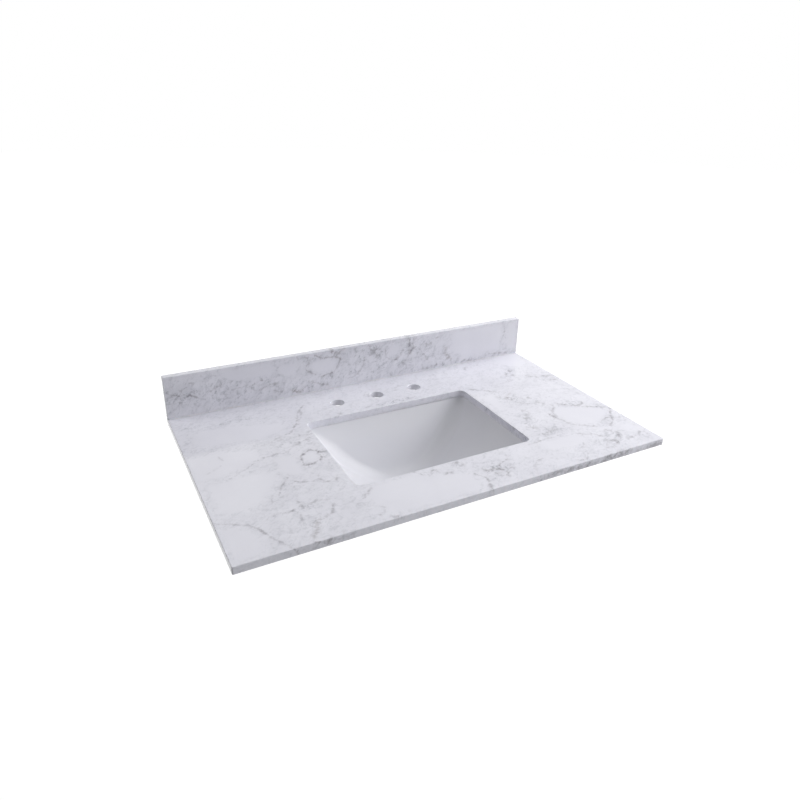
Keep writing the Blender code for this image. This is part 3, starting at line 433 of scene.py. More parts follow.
TOP_CLOUDS = {
    "back_left_row": (140, 478, 120, 22, 0, 0.50, 0.1),
    "back_left_corner": (40, 480, 40, 22, 0, 0.45, 0.1),
    "left_middle": (215, 330, 60, 42, 20, 0.55, 0.2),
    "left_band": (190, 352, 70, 16, 10, 0.45, 0.2),
    "hexagon_right": (258, 258, 12, 20, 0, 0.85, 0.3),
    "left_fork": (150, 178, 30, 34, 35, 0.50, 0.3),
    "left_low": (220, 180, 34, 26, 0, 0.35, 0.2),
    "corner_row": (140, 102, 66, 14, 0, 0.70, 0.3),
    "corner_brown": (160, 50, 42, 40, 20, 0.55, 0.8),
    "corner_front": (110, 24, 60, 24, 0, 0.35, 0.4),
    "front_brow": (275, 96, 26, 26, 40, 0.45, 0.2),
    "front_cup": (412, 104, 34, 12, 0, 0.45, 0.2),
    "front_arc": (478, 110, 22, 12, 0, 0.60, 0.3),
    "front_knot": (540, 52, 38, 34, 0, 0.95, 0.4),
    "front_cloud": (616, 44, 46, 30, 20, 0.45, 0.2),
    "front_right_edge": (700, 112, 66, 10, 0, 0.45, 0.2),
    "bowl_right": (720, 200, 34, 60, -20, 0.60, 0.4),
    "bowl_right_low": (736, 136, 36, 22, 0, 0.80, 0.3),
    "right_diagonal": (752, 310, 26, 60, 25, 0.75, 0.6),
    "right_diagonal_low": (800, 262, 34, 28, 0, 0.65, 0.4),
    "right_top": (720, 376, 40, 20, -35, 0.45, 0.3),
    "right_leaf": (842, 434, 18, 30, -12, 0.75, 0.2),
    "right_dots": (872, 400, 48, 26, 0, 0.45, 0.3),
    "right_far": (905, 365, 36, 30, 0, 0.55, 0.3),
    "pebble_top": (862, 222, 44, 16, -10, 0.80, 0.3),
    "pebble_right": (918, 182, 26, 20, -40, 0.65, 0.2),
    "pebble_low": (884, 116, 46, 26, 25, 0.55, 0.2),
    "low_right": (840, 56, 60, 36, 0, 0.75, 0.3),
    "low_right_edge": (750, 26, 50, 26, 0, 0.50, 0.2),
    "far_low_right": (900, 34, 36, 22, 0, 0.55, 0.2),
    "back_middle": (330, 470, 60, 40, 20, 0.25, 0.1),
    "hole_row": (500, 476, 90, 24, 0, 0.35, 0.1),
    "cut_back": (500, 414, 66, 10, 0, 1.20, 0.2),
    "front_edge": (760, -6, 200, 7, 0, 1.00, 0.4),
    "front_edge_left": (160, -6, 90, 7, 0, 0.60, 0.4),
    "back_right": (660, 470, 80, 50, 0, 0.22, 0.1),
    "cut_right": (668, 170, 7, 60, 0, 0.85, 0.6),
    "cut_right_top": (672, 284, 8, 12, 0, 0.90, 0.2),
}

TOP_PEBBLES = {
    "back_left": ((30, 455), (60, 465), (120, 458), (170, 440), (215, 430), (232, 405), (205, 385),
                  (160, 372), (110, 378), (70, 384), (35, 390), (20, 420)),
    "left": ((0, 360), (52, 356), (110, 348), (140, 330), (138, 304), (118, 290), (80, 272), (50, 262),
             (0, 262)),
    "hexagon": ((210, 263), (222, 280), (233, 286), (244, 274), (243, 252), (236, 246), (212, 239)),
    "by_hexagon": ((152, 290), (190, 292), (200, 268), (198, 232), (200, 204), (176, 206), (156, 226)),
    "front": ((268, 115), (300, 116), (380, 116), (410, 92), (470, 84), (484, 60), (482, 14), (440, 6),
              (330, 6), (286, 18), (268, 60)),
    "big": ((800, 213), (820, 222), (838, 218), (868, 204), (898, 188), (924, 170), (914, 150), (904, 140),
            (880, 125), (852, 116), (826, 126), (802, 144), (797, 165), (795, 198)),
    "front_right": ((676, 106), (760, 106), (780, 90), (790, 64), (740, 56), (690, 62), (672, 84)),
    "back_right": ((850, 540), (930, 548), (930, 470), (890, 452), (862, 470), (846, 500)),
    "right_small": ((886, 84), (906, 94), (926, 90), (924, 66), (900, 56), (884, 66)),
    "left_front": ((4, 112), (30, 100), (54, 80), (62, 60), (64, 30), (50, 8), (4, 6)),
    "right_middle": ((690, 340), (722, 352), (734, 340), (716, 300), (708, 262), (686, 262)),
    "left_centre": ((20, 250), (90, 252), (140, 240), (150, 214), (122, 180), (90, 150), (40, 134),
                    (10, 150)),
}

SPLASH_VEINS = {
    "cross": (0.72, 2.0, 0.3, (16, 56), (24, 53), (32, 50), (40, 52), (46, 48)),
    "cross_tail": (0.52, 2.0, 0.2, (34, 52), (31, 42), (29, 30)),
    "cross_rise": (0.45, 1.8, 0.2, (38, 50), (36, 60), (30, 66)),
    "left_dash": (0.8, 2.2, 0.3, (50, 49), (56, 46), (62, 42), (70, 38)),
    "left_dots": (0.55, 2.4, 0.3, (98, 48), (106, 52), (112, 56), (120, 58)),
    "left_dot_top": (0.4, 2.2, 0.2, (108, 86), (113, 83)),
    "left_twig": (0.4, 2.0, 0.2, (56, 78), (64, 73)),
    "left_edge": (0.4, 2.0, 0.2, (6, 62), (12, 58), (16, 50)),
    "streak_1": (0.35, 2.0, 0.2, (148, 40), (162, 45), (178, 47), (192, 44)),
    "streak_2": (0.45, 2.2, 0.2, (186, 44), (200, 50), (214, 53)),
    "streak_3": (0.5, 2.4, 0.3, (194, 32), (204, 29), (214, 34), (226, 38), (246, 39)),
    "streak_4": (0.4, 2.2, 0.2, (240, 23), (250, 18), (262, 14)),
    "pebble_top": (0.75, 2.4, 0.3, (346, 94), (354, 88), (366, 84), (382, 82), (398, 80), (410, 72)),
    "pebble_knot": (0.85, 4.0, 0.5, (390, 96), (398, 90), (408, 88), (414, 96)),
    "pebble_left": (0.5, 1.8, 0.2, (346, 90), (332, 82), (326, 72), (320, 62), (330, 52), (344, 42)),
    "pebble_right": (0.5, 1.8, 0.2, (408, 72), (404, 60), (398, 50), (392, 42)),
    "pebble_foot": (0.75, 2.2, 0.3, (388, 40), (374, 38), (362, 36), (350, 34)),
    "above_dot": (0.55, 3.0, 0.3, (300, 95), (306, 91)),
    "above_dot_2": (0.4, 2.4, 0.3, (322, 92), (328, 88)),
    "foot_brown": (1.05, 3.6, 0.6, (288, 12), (296, 9), (306, 7), (312, 14)),
    "foot_brown_2": (0.6, 2.4, 0.4, (326, 29), (336, 24), (348, 19)),
    "foot_line": (0.55, 2.2, 0.3, (350, 17), (362, 13), (376, 9)),
    "arc": (0.5, 2.0, 0.2, (428, 18), (440, 19), (452, 23), (462, 32), (469, 46), (474, 64)),
    "cluster": (0.7, 4.0, 0.2, (484, 94), (492, 84), (500, 78), (506, 66)),
    "cluster_2": (0.6, 3.4, 0.2, (498, 92), (504, 84), (490, 70)),
    "cluster_dot": (0.5, 3.0, 0.2, (516, 80), (521, 76)),
    "u_left": (0.55, 2.2, 0.2, (529, 80), (530, 68), (533, 56), (541, 49), (550, 45)),
    "u_right": (0.55, 2.2, 0.2, (550, 45), (562, 44), (570, 50), (576, 60), (582, 68)),
    "column": (0.55, 4.0, 0.3, (596, 98), (600, 84), (604, 70), (602, 56)),
    "column_2": (0.5, 3.4, 0.3, (612, 96), (610, 82), (614, 68)),
    "under_u": (0.45, 2.6, 0.2, (578, 31), (586, 34), (592, 38)),
    "right_1": (0.4, 2.4, 0.2, (642, 76), (652, 72), (662, 72)),
    "right_2": (0.4, 2.6, 0.2, (640, 36), (650, 33), (632, 58), (626, 64)),
    "right_3": (0.35, 2.4, 0.2, (676, 86), (684, 84)),
    "brown_patch": (0.4, 5.0, 0.8, (706, 50), (708, 38), (712, 26), (724, 18)),
    "upright_line": (0.28, 1.8, 0.1, (890, 92), (893, 74), (892, 56)),
    # Painted shade: the next three marks are a dark line painted along the splash's foot, where it meets the
    # top, not veins.
    "foot_1": (0.5, 2.2, 0.2, (630, 6), (650, 4), (682, 8)),
    "foot_2": (0.5, 2.2, 0.2, (760, 7), (790, 4)),
    "foot_3": (0.55, 2.4, 0.2, (846, 11), (872, 8), (904, 4)),
}

SPLASH_CLOUDS = {
    "all_left": (150, 46, 250, 60, 0, 0.62, 0.1),
    "all_right": (520, 50, 200, 70, 0, 0.62, 0.1),
    "left": (50, 50, 70, 34, 0, 0.95, 0.2),
    "left_low": (90, 20, 110, 18, 0, 0.55, 0.2),
    "middle_left": (210, 34, 60, 22, 0, 0.75, 0.3),
    "middle_low": (320, 14, 80, 14, 0, 0.75, 0.4),
    "pebble_side": (340, 84, 46, 16, 0, 0.65, 0.2),
    "pebble_knot": (402, 90, 20, 12, 0, 1.00, 0.4),
    "pebble_foot": (372, 34, 34, 10, 0, 0.80, 0.3),
    "arc": (450, 34, 34, 34, 0, 0.50, 0.2),
    "cluster": (495, 80, 26, 22, 0, 1.00, 0.2),
    "column": (604, 78, 18, 30, 0, 0.85, 0.3),
    "under_u": (580, 30, 50, 24, 0, 0.65, 0.2),
    "right": (652, 48, 52, 44, 0, 0.60, 0.2),
    # Painted shade: this cloud darkens the splash along its foot, where it meets the top.
    "foot_right": (690, 6, 240, 8, 0, 0.80, 0.2),
    "brown_patch": (712, 30, 18, 26, 0, 0.60, 0.8),
    "top_left": (200, 92, 60, 10, 0, 0.30, 0.1),
}

SPLASH_PEBBLES = {
    "left": ((124, 98), (240, 98), (250, 76), (238, 58), (196, 58), (140, 62), (124, 78)),
    "middle": ((324, 62), (332, 78), (350, 86), (370, 80), (398, 76), (404, 66), (396, 48), (380, 42),
               (352, 42), (334, 52)),
    "u": ((538, 90), (578, 92), (576, 70), (566, 52), (550, 50), (538, 60)),
    "right": ((718, 98), (884, 98), (888, 60), (880, 16), (790, 14), (730, 26), (722, 60)),
    "far_right": ((900, 96), (936, 96), (936, 10), (908, 12), (898, 40)),
    "between": ((252, 84), (296, 86), (310, 66), (296, 44), (266, 46), (252, 62)),
}

# How many of its widths a vein reaches, and how wide a pebble's soft edge is and how much it holds off
VEIN_REACH = 3.0
PEBBLE_EDGE = 9.0
PEBBLE_HOLD = 0.92

# The least cloud anywhere, how fast clouds fall off and how unevenly, and how far and where their brown shows
BASE_CLOUD = 0.28
CLOUD_FALL = 0.9
CLOUD_WANDER = 0.3
BROWN_SPREAD = 1.5
OFF_VEIN = 0.1

# The wavelength and the size of each wandering
FINE_RIPPLE = (16, 0.5)
BROAD_RIPPLE = (90, 1.5)
CLOUD_RIPPLE = (40, 1.0)
RIPPLE_WAVES = 8
TOP_SEED, SPLASH_SEED = 11, 23

# How far the pattern slides for each step away from the face, so that it runs on over the edges
TOP_SLANT, SPLASH_SLANT = -0.6, 0.5


def ripple(points, wavelength, size, seed):
    """Smooth wandering: each coordinate gets a sum of sine waves in directions spread over half a circle,
    with wavelengths about the given one, scaled to the given size."""
    random = np.random.default_rng(seed)
    spread = np.linspace(0, math.pi, RIPPLE_WAVES + 1)[:-1]
    angle = spread + random.uniform(-0.2, 0.2, RIPPLE_WAVES)
    waves = FULL_TURN / (wavelength * random.uniform(0.6, 1.7, RIPPLE_WAVES))
    phases = random.uniform(0, FULL_TURN, (2, RIPPLE_WAVES))
    run = points @ np.stack([np.cos(angle), np.sin(angle)]) * waves
    return size / 4 * np.stack([np.sin(run + phase).sum(-1) for phase in phases], -1)


def distance_to(points, path):
    """Each point's distance to the nearest stretch of a path."""
    start, along = path[:-1], np.diff(path, axis=0)
    from_start = points[:, None] - start
    share = np.clip((from_start * along).sum(-1) / (along**2).sum(-1), 0, 1)
    return np.linalg.norm(from_start - share[..., None] * along, axis=-1).min(1)


def vein_field(points, veins, clouds, pebbles, seed):
    """Four numbers a point. Closeness falls from 1 on a vein to 0 three widths away. Darkness and brownness
    are those of the vein that counts most there, and off the veins brownness is what the clouds bring.
    Cloud is the greatest density of the clouds there, each falling off as a bell from its middle, less
    what the pebbles' outlines hold off."""
    points = points + ripple(points, *FINE_RIPPLE, seed) + ripple(points, *BROAD_RIPPLE, seed + 1)
    close, dark, brown = np.zeros((3, len(points)))
    for shade, width, tint, *path in veins.values():
        path = np.array(path, float)
        reach = VEIN_REACH * width
        near = ((points > path.min(0) - reach) & (points < path.max(0) + reach)).all(1)
        near = np.flatnonzero(near)
        if not len(near):
            continue
        closeness = np.clip(1 - distance_to(points[near], path) / reach, 0, 1)
        wins = closeness * shade > close[near] * dark[near]
        chosen = near[wins]
        close[chosen], dark[chosen], brown[chosen] = closeness[wins], shade, tint
    wander = 1 + CLOUD_WANDER * ripple(points, *CLOUD_RIPPLE, seed + 2)[:, 0]
    cloud = np.full(len(points), BASE_CLOUD)
    for x, y, half_x, half_y, turn, density, tint in clouds.values():
        c, s = math.cos(math.radians(turn)), math.sin(math.radians(turn))
        offset = (points - (x, y)) @ np.array([[c, -s], [s, c]])
        away = ((offset / (half_x, half_y)) ** 2).sum(-1)
        spread = density * np.exp(-CLOUD_FALL * away * wander)
        tinted = np.maximum(brown, tint * np.clip(spread * BROWN_SPREAD, 0, 1))
        brown = np.where(close < OFF_VEIN, tinted, brown)
        cloud = np.maximum(cloud, spread)
    for outline in pebbles.values():
        outline = np.array(outline, float)
        edge = distance_to(points, np.vstack([outline, outline[:1]]))
        held_off = np.where(inside(points, outline), np.clip(edge / PEBBLE_EDGE, 0, 1), 0)
        cloud *= 1 - PEBBLE_HOLD * held_off
    return np.column_stack([close, dark, cloud, brown])


def write_pattern(piece, flat, pattern, seed):
    """Keeps the vein field on the mesh's points, as the colour attribute that the stone's finish reads.
    The points' places on the face come in metres."""
    field = vein_field(flat / MM, *pattern, seed)
    layer = piece.data.attributes.new("veins", "FLOAT_COLOR", "POINT")
    layer.data.foreach_set("color", field.astype(np.float32).ravel())


def points_of(mesh):
    flat = np.empty(len(mesh.vertices) * 3, np.float32)
    mesh.vertices.foreach_get("co", flat)
    return flat.reshape(-1, 3).astype(float)


# Finishes

# A metal is its colour, the colour that it wears to, its roughness, what scratches and brushing add to it,
# and how far it is worn
METALS = {
    "chrome_plate": ((0.60, 0.61, 0.63), (0.46, 0.47, 0.50), 0.05, 0.06, 0.0, 0.6),
    "turned_brass": ((0.68, 0.53, 0.30), (0.40, 0.28, 0.14), 0.20, 0.14, 0.16, 0.8),
    "zinc_plate": ((0.50, 0.52, 0.55), (0.30, 0.31, 0.31), 0.24, 0.22, 0.0, 0.9),
    "spring_wire": ((0.46, 0.46, 0.47), (0.26, 0.24, 0.23), 0.24, 0.14, 0.0, 0.5),
}

# A moulded part is its colour, the shade that it drifts to, its roughness, the scale of its grain, its
# sheen and how far light goes into it
MOULDED = {
    "black_rubber": ((0.022, 0.022, 0.024), (0.05, 0.05, 0.052), 0.62, 1500.0, 0.2, 0.0),
    "pale_nylon": ((0.76, 0.74, 0.68), (0.68, 0.65, 0.58), 0.42, 900.0, 0.0, 0.25),
    "white_silicone": ((0.74, 0.737, 0.79), (0.70, 0.697, 0.745), 0.28, 260.0, 0.0, 0.1),
}
GLASSY_IOR = 1.5
VEIN_DIRECTION = (0.62, 0.45, 0.64)
PIT_COLOUR = (0.42, 0.38, 0.33, 1)


class Nodes:
    """A node tree in the making. add() places a node, sets its sockets, links what is given as a socket,
    and returns the node's first output unless another is asked for."""

    def __init__(self, owner):
        owner.use_nodes = True
        self.tree = owner.node_tree
        self.tree.nodes.clear()

    def add(self, kind, sockets=None, output=0, **settings):
        node = self.tree.nodes.new("ShaderNode" + kind)
        for name, value in settings.items():
            setattr(node, name, value)
        for name, value in (sockets or {}).items():
            self.set(node.inputs[name], value)
        return node.outputs[output] if node.outputs else None

    def set(self, socket, value):
        if isinstance(value, bpy.types.NodeSocket):
            self.tree.links.new(value, socket)
        else:
            socket.default_value = value

    def math(self, operation, *values, clamp=False):
        """The values joined by one operation, from the left. Only the last result is clamped."""
        total = values[0]
        for value in values[1:]:
            total = self.add("Math", {0: total, 1: value}, operation=operation)
        total.node.use_clamp = clamp
        return total

    def times(self, *values, clamp=False):
        return self.math("MULTIPLY", *values, clamp=clamp)

    def plus(self, *values, clamp=False):
        return self.math("ADD", *values, clamp=clamp)

    def swing(self, noise, size):
        """Noise about a half, made to swing about zero."""
        return self.times(self.math("SUBTRACT", noise, 0.5), size)

    def ramp(self, value, low, high, to_low=0.0, to_high=1.0, kind="SMOOTHSTEP"):
        sockets = {"Value": value, "From Min": low, "From Max": high, "To Min": to_low, "To Max": to_high}
        return self.add("MapRange", sockets, interpolation_type=kind)

    def mix(self, share, first, second):
        return self.add("Mix", {0: share, 6: first, 7: second}, output=2, data_type="RGBA")

    def show(self, output, seen, other):
        """Ends the tree: one shader for what the camera sees, also by reflection and through glass, and
        another for all other light."""
        path = self.add("LightPath").node.outputs
        rays = [path[name] for name in ("Is Camera Ray", "Is Glossy Ray", "Is Transmission Ray")]
        share = self.math("MAXIMUM", *rays)
        self.add(output, {"Surface": self.add("MixShader", {0: share, 1: other, 2: seen})})


class Finish(Nodes):
    """A material with one shader, which put() sets."""

    def __init__(self, name):
        self.material = bpy.data.materials.new(name)
        super().__init__(self.material)
        shader = self.add("BsdfPrincipled")
        self.inputs = shader.node.inputs
        self.add("OutputMaterial", {"Surface": shader})
        self.place = self.add("TexCoord", output="Object")

    def put(self, **values):
        for name, value in values.items():
            self.set(self.inputs[name.replace("_", " ")], value)

    def noise(self, scale, detail=3.0, roughness=0.55, distortion=0.0, at=None):
        sockets = {"Vector": at or self.place, "Scale": scale, "Detail": detail}
        sockets |= {"Roughness": roughness, "Distortion": distortion}
        return self.add("TexNoise", sockets)

    def drawn_out(self, direction, share):
        """The object's place with a share of its run along one direction taken out, so that a noise there
        comes out longer that way."""
        way = Vector(direction).normalized()
        run = self.add("VectorMath", {0: self.place, 1: tuple(way)}, "Value", operation="DOT_PRODUCT")
        part = self.add("VectorMath", {0: tuple(way * share), "Scale": run}, operation="SCALE")
        return self.add("VectorMath", {0: self.place, 1: part}, operation="SUBTRACT")

    def height_of_normal(self):
        """The upright share of the surface's own direction: 1 on top faces and -1 underneath."""
        return self.add("SeparateXYZ", {0: self.add("TexCoord", output="Normal")}, output="Z")

    def bump(self, height, distance, strength):
        self.put(Normal=self.add("Bump", {"Height": height, "Distance": distance, "Strength": strength}))


def stone_finish(look):
    """Polished engineered stone: a pale ground that drifts slightly, veins and clouds that the point
    attribute places and noise breaks up, with some painted shade among them at the backsplash's foot and
    beside the tap holes, and a duller raw face underneath."""
    finish = Finish("veined_stone")
    veins = finish.add("Attribute", attribute_name="veins")
    close, dark, cloud = finish.add("SeparateColor", {0: veins}).node.outputs
    brown = veins.node.outputs["Alpha"]
    broad = finish.noise(scale=9.0, detail=3.0, roughness=0.5)
    drawn = finish.drawn_out(VEIN_DIRECTION, 0.5)
    smoke = finish.noise(scale=30.0, detail=5.0, roughness=0.62, distortion=1.0, at=drawn)
    patches = finish.noise(scale=85.0, detail=5.0, roughness=0.62, distortion=0.8, at=drawn)
    mottles = finish.noise(scale=150.0, detail=4.0, roughness=0.62, distortion=0.4)
    grain = finish.noise(scale=300.0, detail=4.0, roughness=0.62)
    folds = finish.noise(scale=40.0, detail=4.0, roughness=0.60, distortion=1.2, at=drawn)

    # The veins' lines, broken up, with a halo that fades beside them
    uneven = finish.plus(finish.swing(grain, 0.55), finish.swing(patches, 1.3))
    line = finish.ramp(finish.plus(close, uneven), 0.50, 1.08)
    line = finish.times(line, dark, finish.ramp(mottles, 0.36, 0.60, 0.40, 1.0))
    halo = finish.times(close, dark, finish.ramp(patches, 0.42, 0.64, 0.03, 0.42))
    amount = finish.plus(finish.times(line, look.vein_strength), halo, clamp=True)

    # The clouds: thin wisps on the folds of a noise, a broad mist and small knots
    ridge = finish.math("ABSOLUTE", finish.math("SUBTRACT", folds, 0.5), 0.0)
    wisps = finish.times(finish.ramp(ridge, 0.0, 0.05, 1.0, 0.0), finish.ramp(mottles, 0.38, 0.62, 0.1, 1.0))
    mist = finish.ramp(smoke, 0.40, 0.64)
    knots = finish.times(finish.ramp(patches, 0.46, 0.66), finish.ramp(mottles, 0.36, 0.62, 0.3, 1.0))
    cloudy = finish.plus(finish.times(wisps, 0.34), finish.times(mist, 0.22), finish.times(knots, 0.62))
    cloudy = finish.times(cloudy, cloud, look.cloud_strength, clamp=True)

    ground = finish.mix(finish.ramp(broad, 0.35, 0.65), tuple(look.ground), tuple(look.ground_shade))
    vein = finish.mix(brown, tuple(look.vein_grey), tuple(look.vein_brown))
    colour = finish.mix(amount, finish.mix(cloudy, ground, tuple(look.cloud_grey)), vein)
    raw = finish.ramp(finish.height_of_normal(), -0.6, -0.2, 1.0, 0.0)
    finish.put(Base_Color=colour, Roughness=finish.ramp(raw, 0.0, 1.0, look.polish, 0.5, "LINEAR"))
    finish.put(IOR=GLASSY_IOR)
    return finish.material


def ceramic_finish(look):
    """Glazed vitreous china: an even near-white glaze, a little thinner and creamier on the outside, with
    pinholes there, and the faintest orange-peel in its gloss."""
    finish = Finish("glazed_ceramic")
    broad = finish.ramp(finish.noise(scale=14.0, detail=2.0), 0.3, 0.7)
    outside = finish.ramp(finish.height_of_normal(), -0.35, -0.02, 1.0, 0.0)
    pits = finish.times(finish.ramp(finish.noise(scale=900.0, detail=1.0), 0.70, 0.76), outside)
    glaze = finish.mix(broad, tuple(look.glaze), tuple(look.glaze_shade))
    body = finish.mix(finish.times(outside, 0.6), glaze, tuple(look.thin_glaze))
    finish.put(Base_Color=finish.mix(finish.times(pits, 0.5), body, PIT_COLOUR))
    finish.put(Roughness=finish.ramp(outside, 0.0, 1.0, look.glaze_roughness, 0.34, "LINEAR"))
    finish.put(IOR=GLASSY_IOR)
    peel = finish.noise(scale=130.0, detail=2.0)
    finish.bump(finish.math("SUBTRACT", peel, pits), distance=0.00004, strength=0.35)
    return finish.material


def metal_finish(name, colour, worn, roughness, scratch, brushed, dull):
    """Metal: its colour drifts towards a worn one, fine scratches run through its roughness and bump, and
    brushed adds turning marks, rings of noise that is drawn out round the upright line."""
    finish = Finish(name)
    drift = finish.ramp(finish.noise(scale=60.0, detail=4.0, roughness=0.6), 0.35, 0.75)
    stretched = finish.add("Mapping", {"Vector": finish.place, "Scale": (40.0, 40.0, 2600.0)})
    marks = finish.times(finish.noise(scale=1.0, detail=3.0, roughness=0.6, at=stretched), brushed)
    smears = finish.noise(scale=180.0, detail=4.0, roughness=0.65, distortion=0.4)
    rough = finish.plus(finish.times(smears, scratch), marks, roughness, clamp=True)
    finish.put(Base_Color=finish.mix(finish.times(drift, dull), (*colour, 1), (*worn, 1)))
    finish.put(Roughness=rough, Metallic=1.0)
    finish.bump(finish.plus(marks, smears), distance=0.00003, strength=0.25)
    return finish.material


def moulded_finish(name, colour, shade, roughness, grain, sheen, through):
    """Rubber, nylon or silicone: a colour that drifts, a moulded grain in the bump and an uneven gloss."""
    finish = Finish(name)
    drift = finish.ramp(finish.noise(scale=90.0), 0.3, 0.7)
    fine = finish.noise(scale=grain, roughness=0.6)
    finish.put(Base_Color=finish.mix(drift, (*colour, 1), (*shade, 1)))
    finish.put(Roughness=finish.ramp(fine, 0.3, 0.7, roughness - 0.06, roughness + 0.08))
    finish.put(Sheen_Weight=sheen, Subsurface_Weight=through, Subsurface_Scale=0.002)
    finish.bump(fine, distance=0.00006, strength=0.5)
    return finish.material


def finish_named(name):
    """The finishes are made once and shared by their pieces."""
    made = bpy.data.materials.get(name)
    if made:
        return made
    if name in METALS:
        return metal_finish(name, *METALS[name])
    if name in MOULDED:
        return moulded_finish(name, *MOULDED[name])
    if name == "glazed_ceramic":
        return ceramic_finish(bpy.context.scene.sink_ceramic)
    return stone_finish(bpy.context.scene.sink_stone)


# Sizes and colours that a user would change


def number_field(name, description, default, **limits):
    return bpy.props.FloatProperty(name=name, description=description, default=default, **limits)


def length_field(name, description, default, **limits):
    return number_field(name, description, default, subtype="DISTANCE", unit="LENGTH", **limits)


def colour_field(name, description, *colour):
    settings = {"size": 4, "subtype": "COLOR", "min": 0, "max": 1}
    return bpy.props.FloatVectorProperty(name=name, description=description, default=(*colour, 1), **settings)


class SinkStone(bpy.types.PropertyGroup):
    ground: colour_field("Ground", "Pale ground of the stone", 0.755, 0.752, 0.814)
    ground_shade: colour_field("Ground Drift", "What the ground drifts to", 0.728, 0.724, 0.788)
    cloud_grey: colour_field("Clouds", "Colour of the clouds between the veins", 0.300, 0.310, 0.358)
    vein_grey: colour_field("Grey Veins", "Colour of the grey veins", 0.280, 0.268, 0.312)
    vein_brown: colour_field("Brown Veins", "Colour of the brown-lilac veins", 0.320, 0.295, 0.305)
    vein_strength: number_field("Vein Strength", "How dark the veins come out", 0.72, min=0, max=2)
    cloud_strength: number_field("Cloud Strength", "How dark the clouds come out", 1.25, min=0)
    polish: number_field("Polish", "Roughness of the polished faces", 0.07, min=0, max=1)
    spacing: length_field("Pattern Spacing", "Distance between the pattern's points", 0.0025, min=0.002)


class SinkCeramic(bpy.types.PropertyGroup):
    glaze: colour_field("Glaze", "Colour of the glaze", 0.705, 0.705, 0.745)
    glaze_shade: colour_field("Glaze Drift", "What the glaze drifts to", 0.695, 0.697, 0.738)
    thin_glaze: colour_field("Thin Glaze", "Glaze on the outside", 0.700, 0.685, 0.640)
    glaze_roughness: number_field("Glaze Roughness", "Roughness in the bowl", 0.12, min=0, max=1)
    wall: length_field("Wall", "Thickness of the bowl's wall", 0.009)


class SinkStage(bpy.types.PropertyGroup):
    floor_height: length_field("Floor Height", "Height of the floor", -0.85)
    lamp_power: number_field("Lamps", "Power of a lamp whose strength is one", 76, unit="POWER")
    air: number_field("Room Light", "Strength of the room's own light, from the right", 0.58, min=0)


# Pieces


def bowl_sections(shares, floor_radius, wall):
    """The bowl's sections at shares of its depth, grown by a wall: (half length, half width, corner,
    height). The ends and sides slope in by their shares of their reach, and fall in to the circle round the
    outlet as one less a power of the depth's share, to a root. The corners open out on the way down."""
    shares = np.asarray(shares, float)
    halves = []
    for reach, slope, power, root in (BOWL_ENDS, BOWL_SIDES):
        left = (1 - shares**power) ** (1 / root)
        halves.append(floor_radius + ((reach + wall) * (1 - slope * shares) - floor_radius) * left)
    low_corner = BOWL_FLOOR_CORNER + (floor_radius - BOWL_FLOOR_CORNER) * shares**2
    rim_corner = BOWL_RIM_CORNER + wall
    corner = rim_corner + (low_corner - rim_corner) * np.minimum(1, shares * 3)
    corner = np.minimum(corner, np.minimum(*halves))
    return np.stack([*halves, corner, BASIN_HIGH.z - shares * (BOWL_DEPTH + wall)], -1)


class SINK_OT_stone_top(bpy.types.Operator):
    """Build the stone top: eased edges, the cut-out, three tap holes and the blind holes underneath."""

    bl_idname = "sink.stone_top"
    bl_label = "Stone Top"

    def execute(self, context):
        step = context.scene.sink_stone.spacing
        half = (TOP_HIGH - TOP_LOW) / 2
        middle = (TOP_HIGH + TOP_LOW) / 2
        outer = outline_pattern(3, (round(2 * half.x / step), round(2 * half.y / step)))
        cutout = outline_pattern(12, (160, 110))
        sides = np.array([CUTOUT_HALF_LENGTH, CUTOUT_HALF_WIDTH, CUTOUT_CORNER])

        def loops_at(inset):
            edge = rounded_loop(half.x - inset, half.y - inset, TOP_CORNER - inset, outer, middle.xy)
            opening = rounded_loop(*(sides + inset), cutout, (0, BASIN_CENTRE.y))
            radius = TAP_HOLE_RADIUS + inset
            taps = [circle(radius, 64, (side * TAP_HOLE_SPACING, TAP_HOLE_Y)) for side in (-1, 0, 1)]
            return [edge, opening, *taps]

        blind, cups = [], []
        for name in CLIP_NAMES:
            low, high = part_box("clip_insert_" + name)
            middle_x, middle_y, _ = (low + high) / 2
            radius = (high.x - low.x) / 2 + BLIND_HOLE_GAP
            roof = high.z + BLIND_HOLE_GAP
            blind.append(circle(radius, 32, (middle_x, middle_y)))
            cups.append(turned([(radius, 0.0), (radius, roof), (0.0, roof)], 32, (middle_x, middle_y, 0)))
        eases = (EDGE_EASE, UNDER_EASE)
        shells = plate(loops_at, TOP_LOW.z, TOP_HIGH.z, eases, (step, step * 1.1), blind, rows=5)
        piece = make_piece("veined_stone_top", shells + cups, "veined_stone", "stone_top")
        x, y, z = points_of(piece.data).T
        slant = TOP_SLANT * (TOP_HIGH.z - z)
        flat = np.column_stack([x - TOP_LOW.x + slant, y - TOP_LOW.y + slant])
        write_pattern(piece, flat, (TOP_VEINS, TOP_CLOUDS, TOP_PEBBLES), TOP_SEED)
        return {"FINISHED"}


